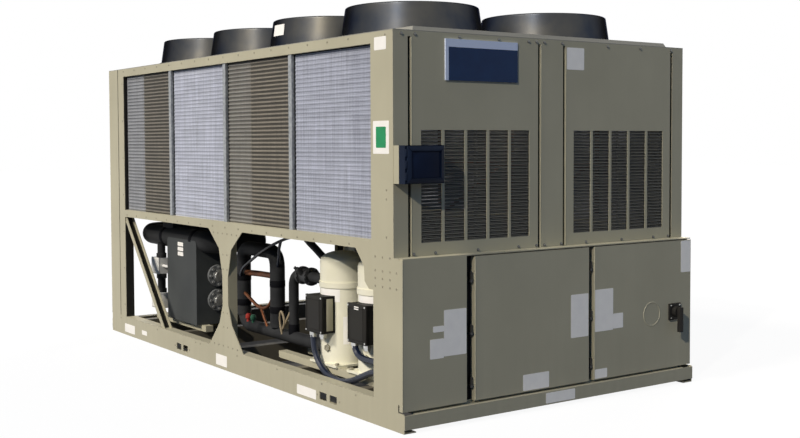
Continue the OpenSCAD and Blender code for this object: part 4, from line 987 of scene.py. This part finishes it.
rings = [copies(tape_ring(water_r + 0.0025, 0.05),
                [facing((x, low.y + water_r, low.z + water_r), TO_END) for x in WATER_TAPE_XS]),
         copies(tape_ring(SLEEVE_R + 0.002, 0.045),
                [side @ at(x, PIPE_Y, z) for side in BOTH_SIDES for x in LEG_XS for z in LEG_TAPE_ZS]),
         copies(tape_ring(RISER_R + 0.003, 0.09),
                [side @ at(RISER_X, PIPE_Y, LOW_RUN_Z + 0.045) for side in BOTH_SIDES])]
keep(join(rings), "foam_tape_rings", "machine", black_tape_and_shade)

# %% Arch foam


def tube(points, radius):
    """A bent tube along a smooth curve through or near its points."""
    only()
    bpy.ops.curve.primitive_nurbs_path_add()
    line = bpy.context.object
    line.data.splines.clear()
    spline = line.data.splines.new("NURBS")
    spline.points.add(len(points) - 1)
    for knot, point in zip(spline.points, points):
        knot.co = (*point, 1)
    spline.use_endpoint_u, spline.order_u = True, 3
    line.data.bevel_depth, line.data.bevel_resolution, line.data.resolution_u = radius, 4, 6
    line.data.use_fill_caps = True
    bpy.ops.object.convert(target="MESH")
    return bpy.context.object


top_z, turn_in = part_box("suction_pipes")[1].z - SUCTION_R, 0.22
left_x, right_x = LEG_XS
arch = tube([(x, PIPE_Y, z) for x, z in (
    (left_x, 0.33), (left_x, top_z - turn_in), (left_x, top_z), (left_x + turn_in, top_z),
    (right_x - turn_in, top_z), (right_x, top_z), (right_x, top_z - turn_in), (right_x, 0.30))], SLEEVE_R)
keep(copies(arch, BOTH_SIDES), "arch_foam", "machine", pipe_foam)

# %% [markdown]
# ## Copper lines and valves
# In the bay behind the middle post a copper line crosses the suction arch, another one bends up from leg
# to leg, and two service valves with coloured caps sit on the low run. Thin rigid lines in a black sheath
# climb from the arch to the floor of the air space, and a tan capillary line winds up beside the riser.
# All of them run close to the suction pipes, so their points say how far in front of those they lie.

# %% Copper lines


def line_before(points, radius):
    """A tube through points given as X, the distance in front of the suction pipes, and Z."""
    return tube([(x, PIPE_Y - out, z) for x, out, z in points], radius)


cross = line_before(((left_x, 0, 0.630), (-0.08, 0, 0.650), (right_x, 0, 0.645)), 0.021)
bend = line_before(((left_x, 0.01, 0.500), (-0.22, 0.02, 0.470), (-0.05, 0.02, 0.400), (0.09, 0.02, 0.430),
                    (0.13, 0.01, 0.520), (right_x, 0, 0.560)), 0.012)
lead = line_before(((-0.04, 0.02, 0.425), (0.02, 0.03, 0.360), (0.06, 0.02, LOW_RUN_Z + 0.03)), 0.010)
keep(copies(join([cross, bend, lead]), BOTH_SIDES), "copper_lines", "machine", copper_tube)

# %% Sheathed lines
climb = line_before(((left_x, 0.02, 0.58), (-0.28, 0.060, 0.65), (-0.10, 0.062, 0.74), (0.12, 0.062, 0.84),
                     (0.38, 0.060, 0.925), (0.58, 0.055, 0.960), (0.64, 0.050, 1.000)), 0.010)
drop = line_before(((0.335, 0.060, 0.910), (0.300, 0.060, 0.850), (0.275, 0.045, 0.770), (right_x, 0, 0.690)),
                   0.010)
keep(copies(join([climb, drop]), BOTH_SIDES), "sheathed_lines", "machine", hose_rubber)
wind = line_before([(RISER_X - back, out, z) for back, out, z in (
    (0.10, 0.036, 0.270), (0.115, 0.050, 0.36), (0.08, 0.055, 0.45), (0.03, 0.050, 0.36), (0.09, 0.045, 0.29),
    (0.02, 0.042, 0.38), (0, 0.020, 0.45))], 0.008)
keep(copies(wind, BOTH_SIDES), "capillary_lines", "machine", wire_sheath)

# %% Service valves
STEM_FOOT, CAP_FOOT, VALVE_OUT = 0.285, 0.312, 0.020
for name, x, tones in (("red_valve_caps", -0.225, ("#8e2a24", "#a83a30")),
                       ("green_valve_caps", -0.150, ("#2c5a46", "#3a6e55"))):
    stem = soften(drum(6, 0.013, 0.030, STEM_FOOT), 0.002)
    cap = soften(raise_face(drum(20, 0.020, 0.026, CAP_FOOT), UP, 0.005, 0.008), 0.0015)
    valves = copies(join([stem, cap]), [side @ at(x, PIPE_Y - VALVE_OUT, 0) for side in BOTH_SIDES])
    enamel = skin_finish(name.replace("caps", "cap_plastic"), tones, 0.04, (0.4, 0.5), 0.006, 0.0004)
    keep(valves, name, "machine", enamel)

# %% Shut-off valves
RUN_Z, VALVE_XS, FLANGE_BOLT_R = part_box("riser_pipes")[1].z - RISER_R, (0.52, 0.63), 0.050
valve_x = sum(VALVE_XS) / 2
along_x = [facing((x, PIPE_Y, RUN_Z), TO_END) for x in VALVE_XS]
flanges = copies(tape_ring(0.060, 0.016), along_x)
body = soften(drum(8, 0.050, 0.11, -0.055), 0.006)
body = copies(body, [facing((valve_x, PIPE_Y, RUN_Z), TO_END)])
bolt = soften(drum(6, 0.010, 0.012, 0.006), 0.0012)
bolts = copies(bolt, [place @ spot for place in along_x for spot in round_places(FLANGE_BOLT_R, 6)])
stem = soften(raise_face(drum(6, 0.018, 0.09, -0.045), UP, 0.006, 0.018), 0.0015)
stem = copies(stem, [facing((valve_x, PIPE_Y - 0.045, RUN_Z + 0.025), (0, -0.8, 0.6))])
valves = copies(join([flanges, body, bolts, stem]), BOTH_SIDES)
keep(valves, "shutoff_valves", "machine", black_steel)

# %% [markdown]
# ## Flow switch and pipe hanger
# A black stem comes down from the water pipe to the small white box, goes on below it and ends in a
# second white box. The pipe itself hangs from the floor of the air space by a black foam block.

# %% Pipe hanger
low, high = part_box("water_pipe")
hanger = block((-1.515, EVAP_Y + 0.040, high.z - 0.030),
               (-1.320, EVAP_Y + 0.132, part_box("plenum_floor")[0].z), 0.006, 3)
keep(narrow(hanger, UP, (0.8, 1.1, 1)), "pipe_hanger", "machine", pipe_foam)

# %% Flow switch stem
COLLAR_ZS = (0.497, 0.665, 0.380)
low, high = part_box("junction_box")
stem_x, stem_y = low.x + 0.100, (low.y + high.y) / 2
stem_zs = (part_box("water_pipe")[0].z + 0.02, 0.70, 0.37)
stem = tube([(stem_x, stem_y, z) for z in stem_zs], 0.032)
collars = copies(tape_ring(0.040, 0.035), [at(stem_x, stem_y, z) for z in COLLAR_ZS])
keep(join([stem, collars]), "flow_switch_stem", "machine", pipe_foam)

# %% [markdown]
# ## White boxes
# The small white box beside the evaporator has a lid with a raised field, and the one at the foot of the
# stem has the same.

# %% Box lids
BOX_W, FOOT_BOX_W, FOOT_BOX_Z, OVERLAP = 0.136, 0.158, (0.240, 0.366), 0.002
low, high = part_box("junction_box")


def box_lid(low_x, high_x, low_z, high_z):
    """A lid on the front of a white box."""
    lid = block((low_x - OVERLAP, low.y - 0.008, low_z - OVERLAP),
                (high_x + OVERLAP, low.y + 0.004, high_z + OVERLAP), 0.003, 3)
    return raise_face(lid, TO_SIDE, 0.010, 0.002, limit=0.95)


lid = box_lid(low.x, low.x + BOX_W, low.z, high.z)
keep(lid, "junction_box_lid", "machine", white_plastic)
foot_end = low.x + FOOT_BOX_W
foot_box = block((low.x, low.y, FOOT_BOX_Z[0]), (foot_end, high.y, FOOT_BOX_Z[1]), 0.005, 3)
foot_box = join([foot_box, box_lid(low.x, foot_end, *FOOT_BOX_Z)])
keep(foot_box, "foot_box", "machine", white_plastic)

# %% [markdown]
# ## Shroud bolts and label
# The foot of each shroud is bolted to the roof pan all round, and one shroud carries a blank label, cut
# from a cone as the compressors' labels are.

# %% Shroud bolts
FAN_XS, FAN_Y, BOLT_R, PAN_Z, RIM_T = (-1.380, -0.475, 0.430, 1.335), 0.540, 0.4430, 2.197, 0.004
bolt = raise_face(drum(12, 0.006, 0.003), UP, 0.0015, 0.003)
spots = [at(x, y, PAN_Z + RIM_T) @ spot for x in FAN_XS for y in (-FAN_Y, FAN_Y)
         for spot in round_places(BOLT_R, 12, 0.26)]
keep(copies(bolt, spots), "shroud_bolts", "machine", zinc_screw, 30)

# %% Shroud label
FOOT_R, TOP_R, TOP_Z = 0.4355, 0.4115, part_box("fan_shrouds_left")[1].z
LABEL_ZS = (2.270, 2.342)
radii = [FOOT_R + (TOP_R - FOOT_R) * (z - PAN_Z) / (TOP_Z - PAN_Z) for z in LABEL_ZS]
sticker = copies(shell_label(*LABEL_ZS, -92, 9, *radii), [at(FAN_XS[2], -FAN_Y, 0)])
keep(sticker, "shroud_label", "machine", label_vinyl)
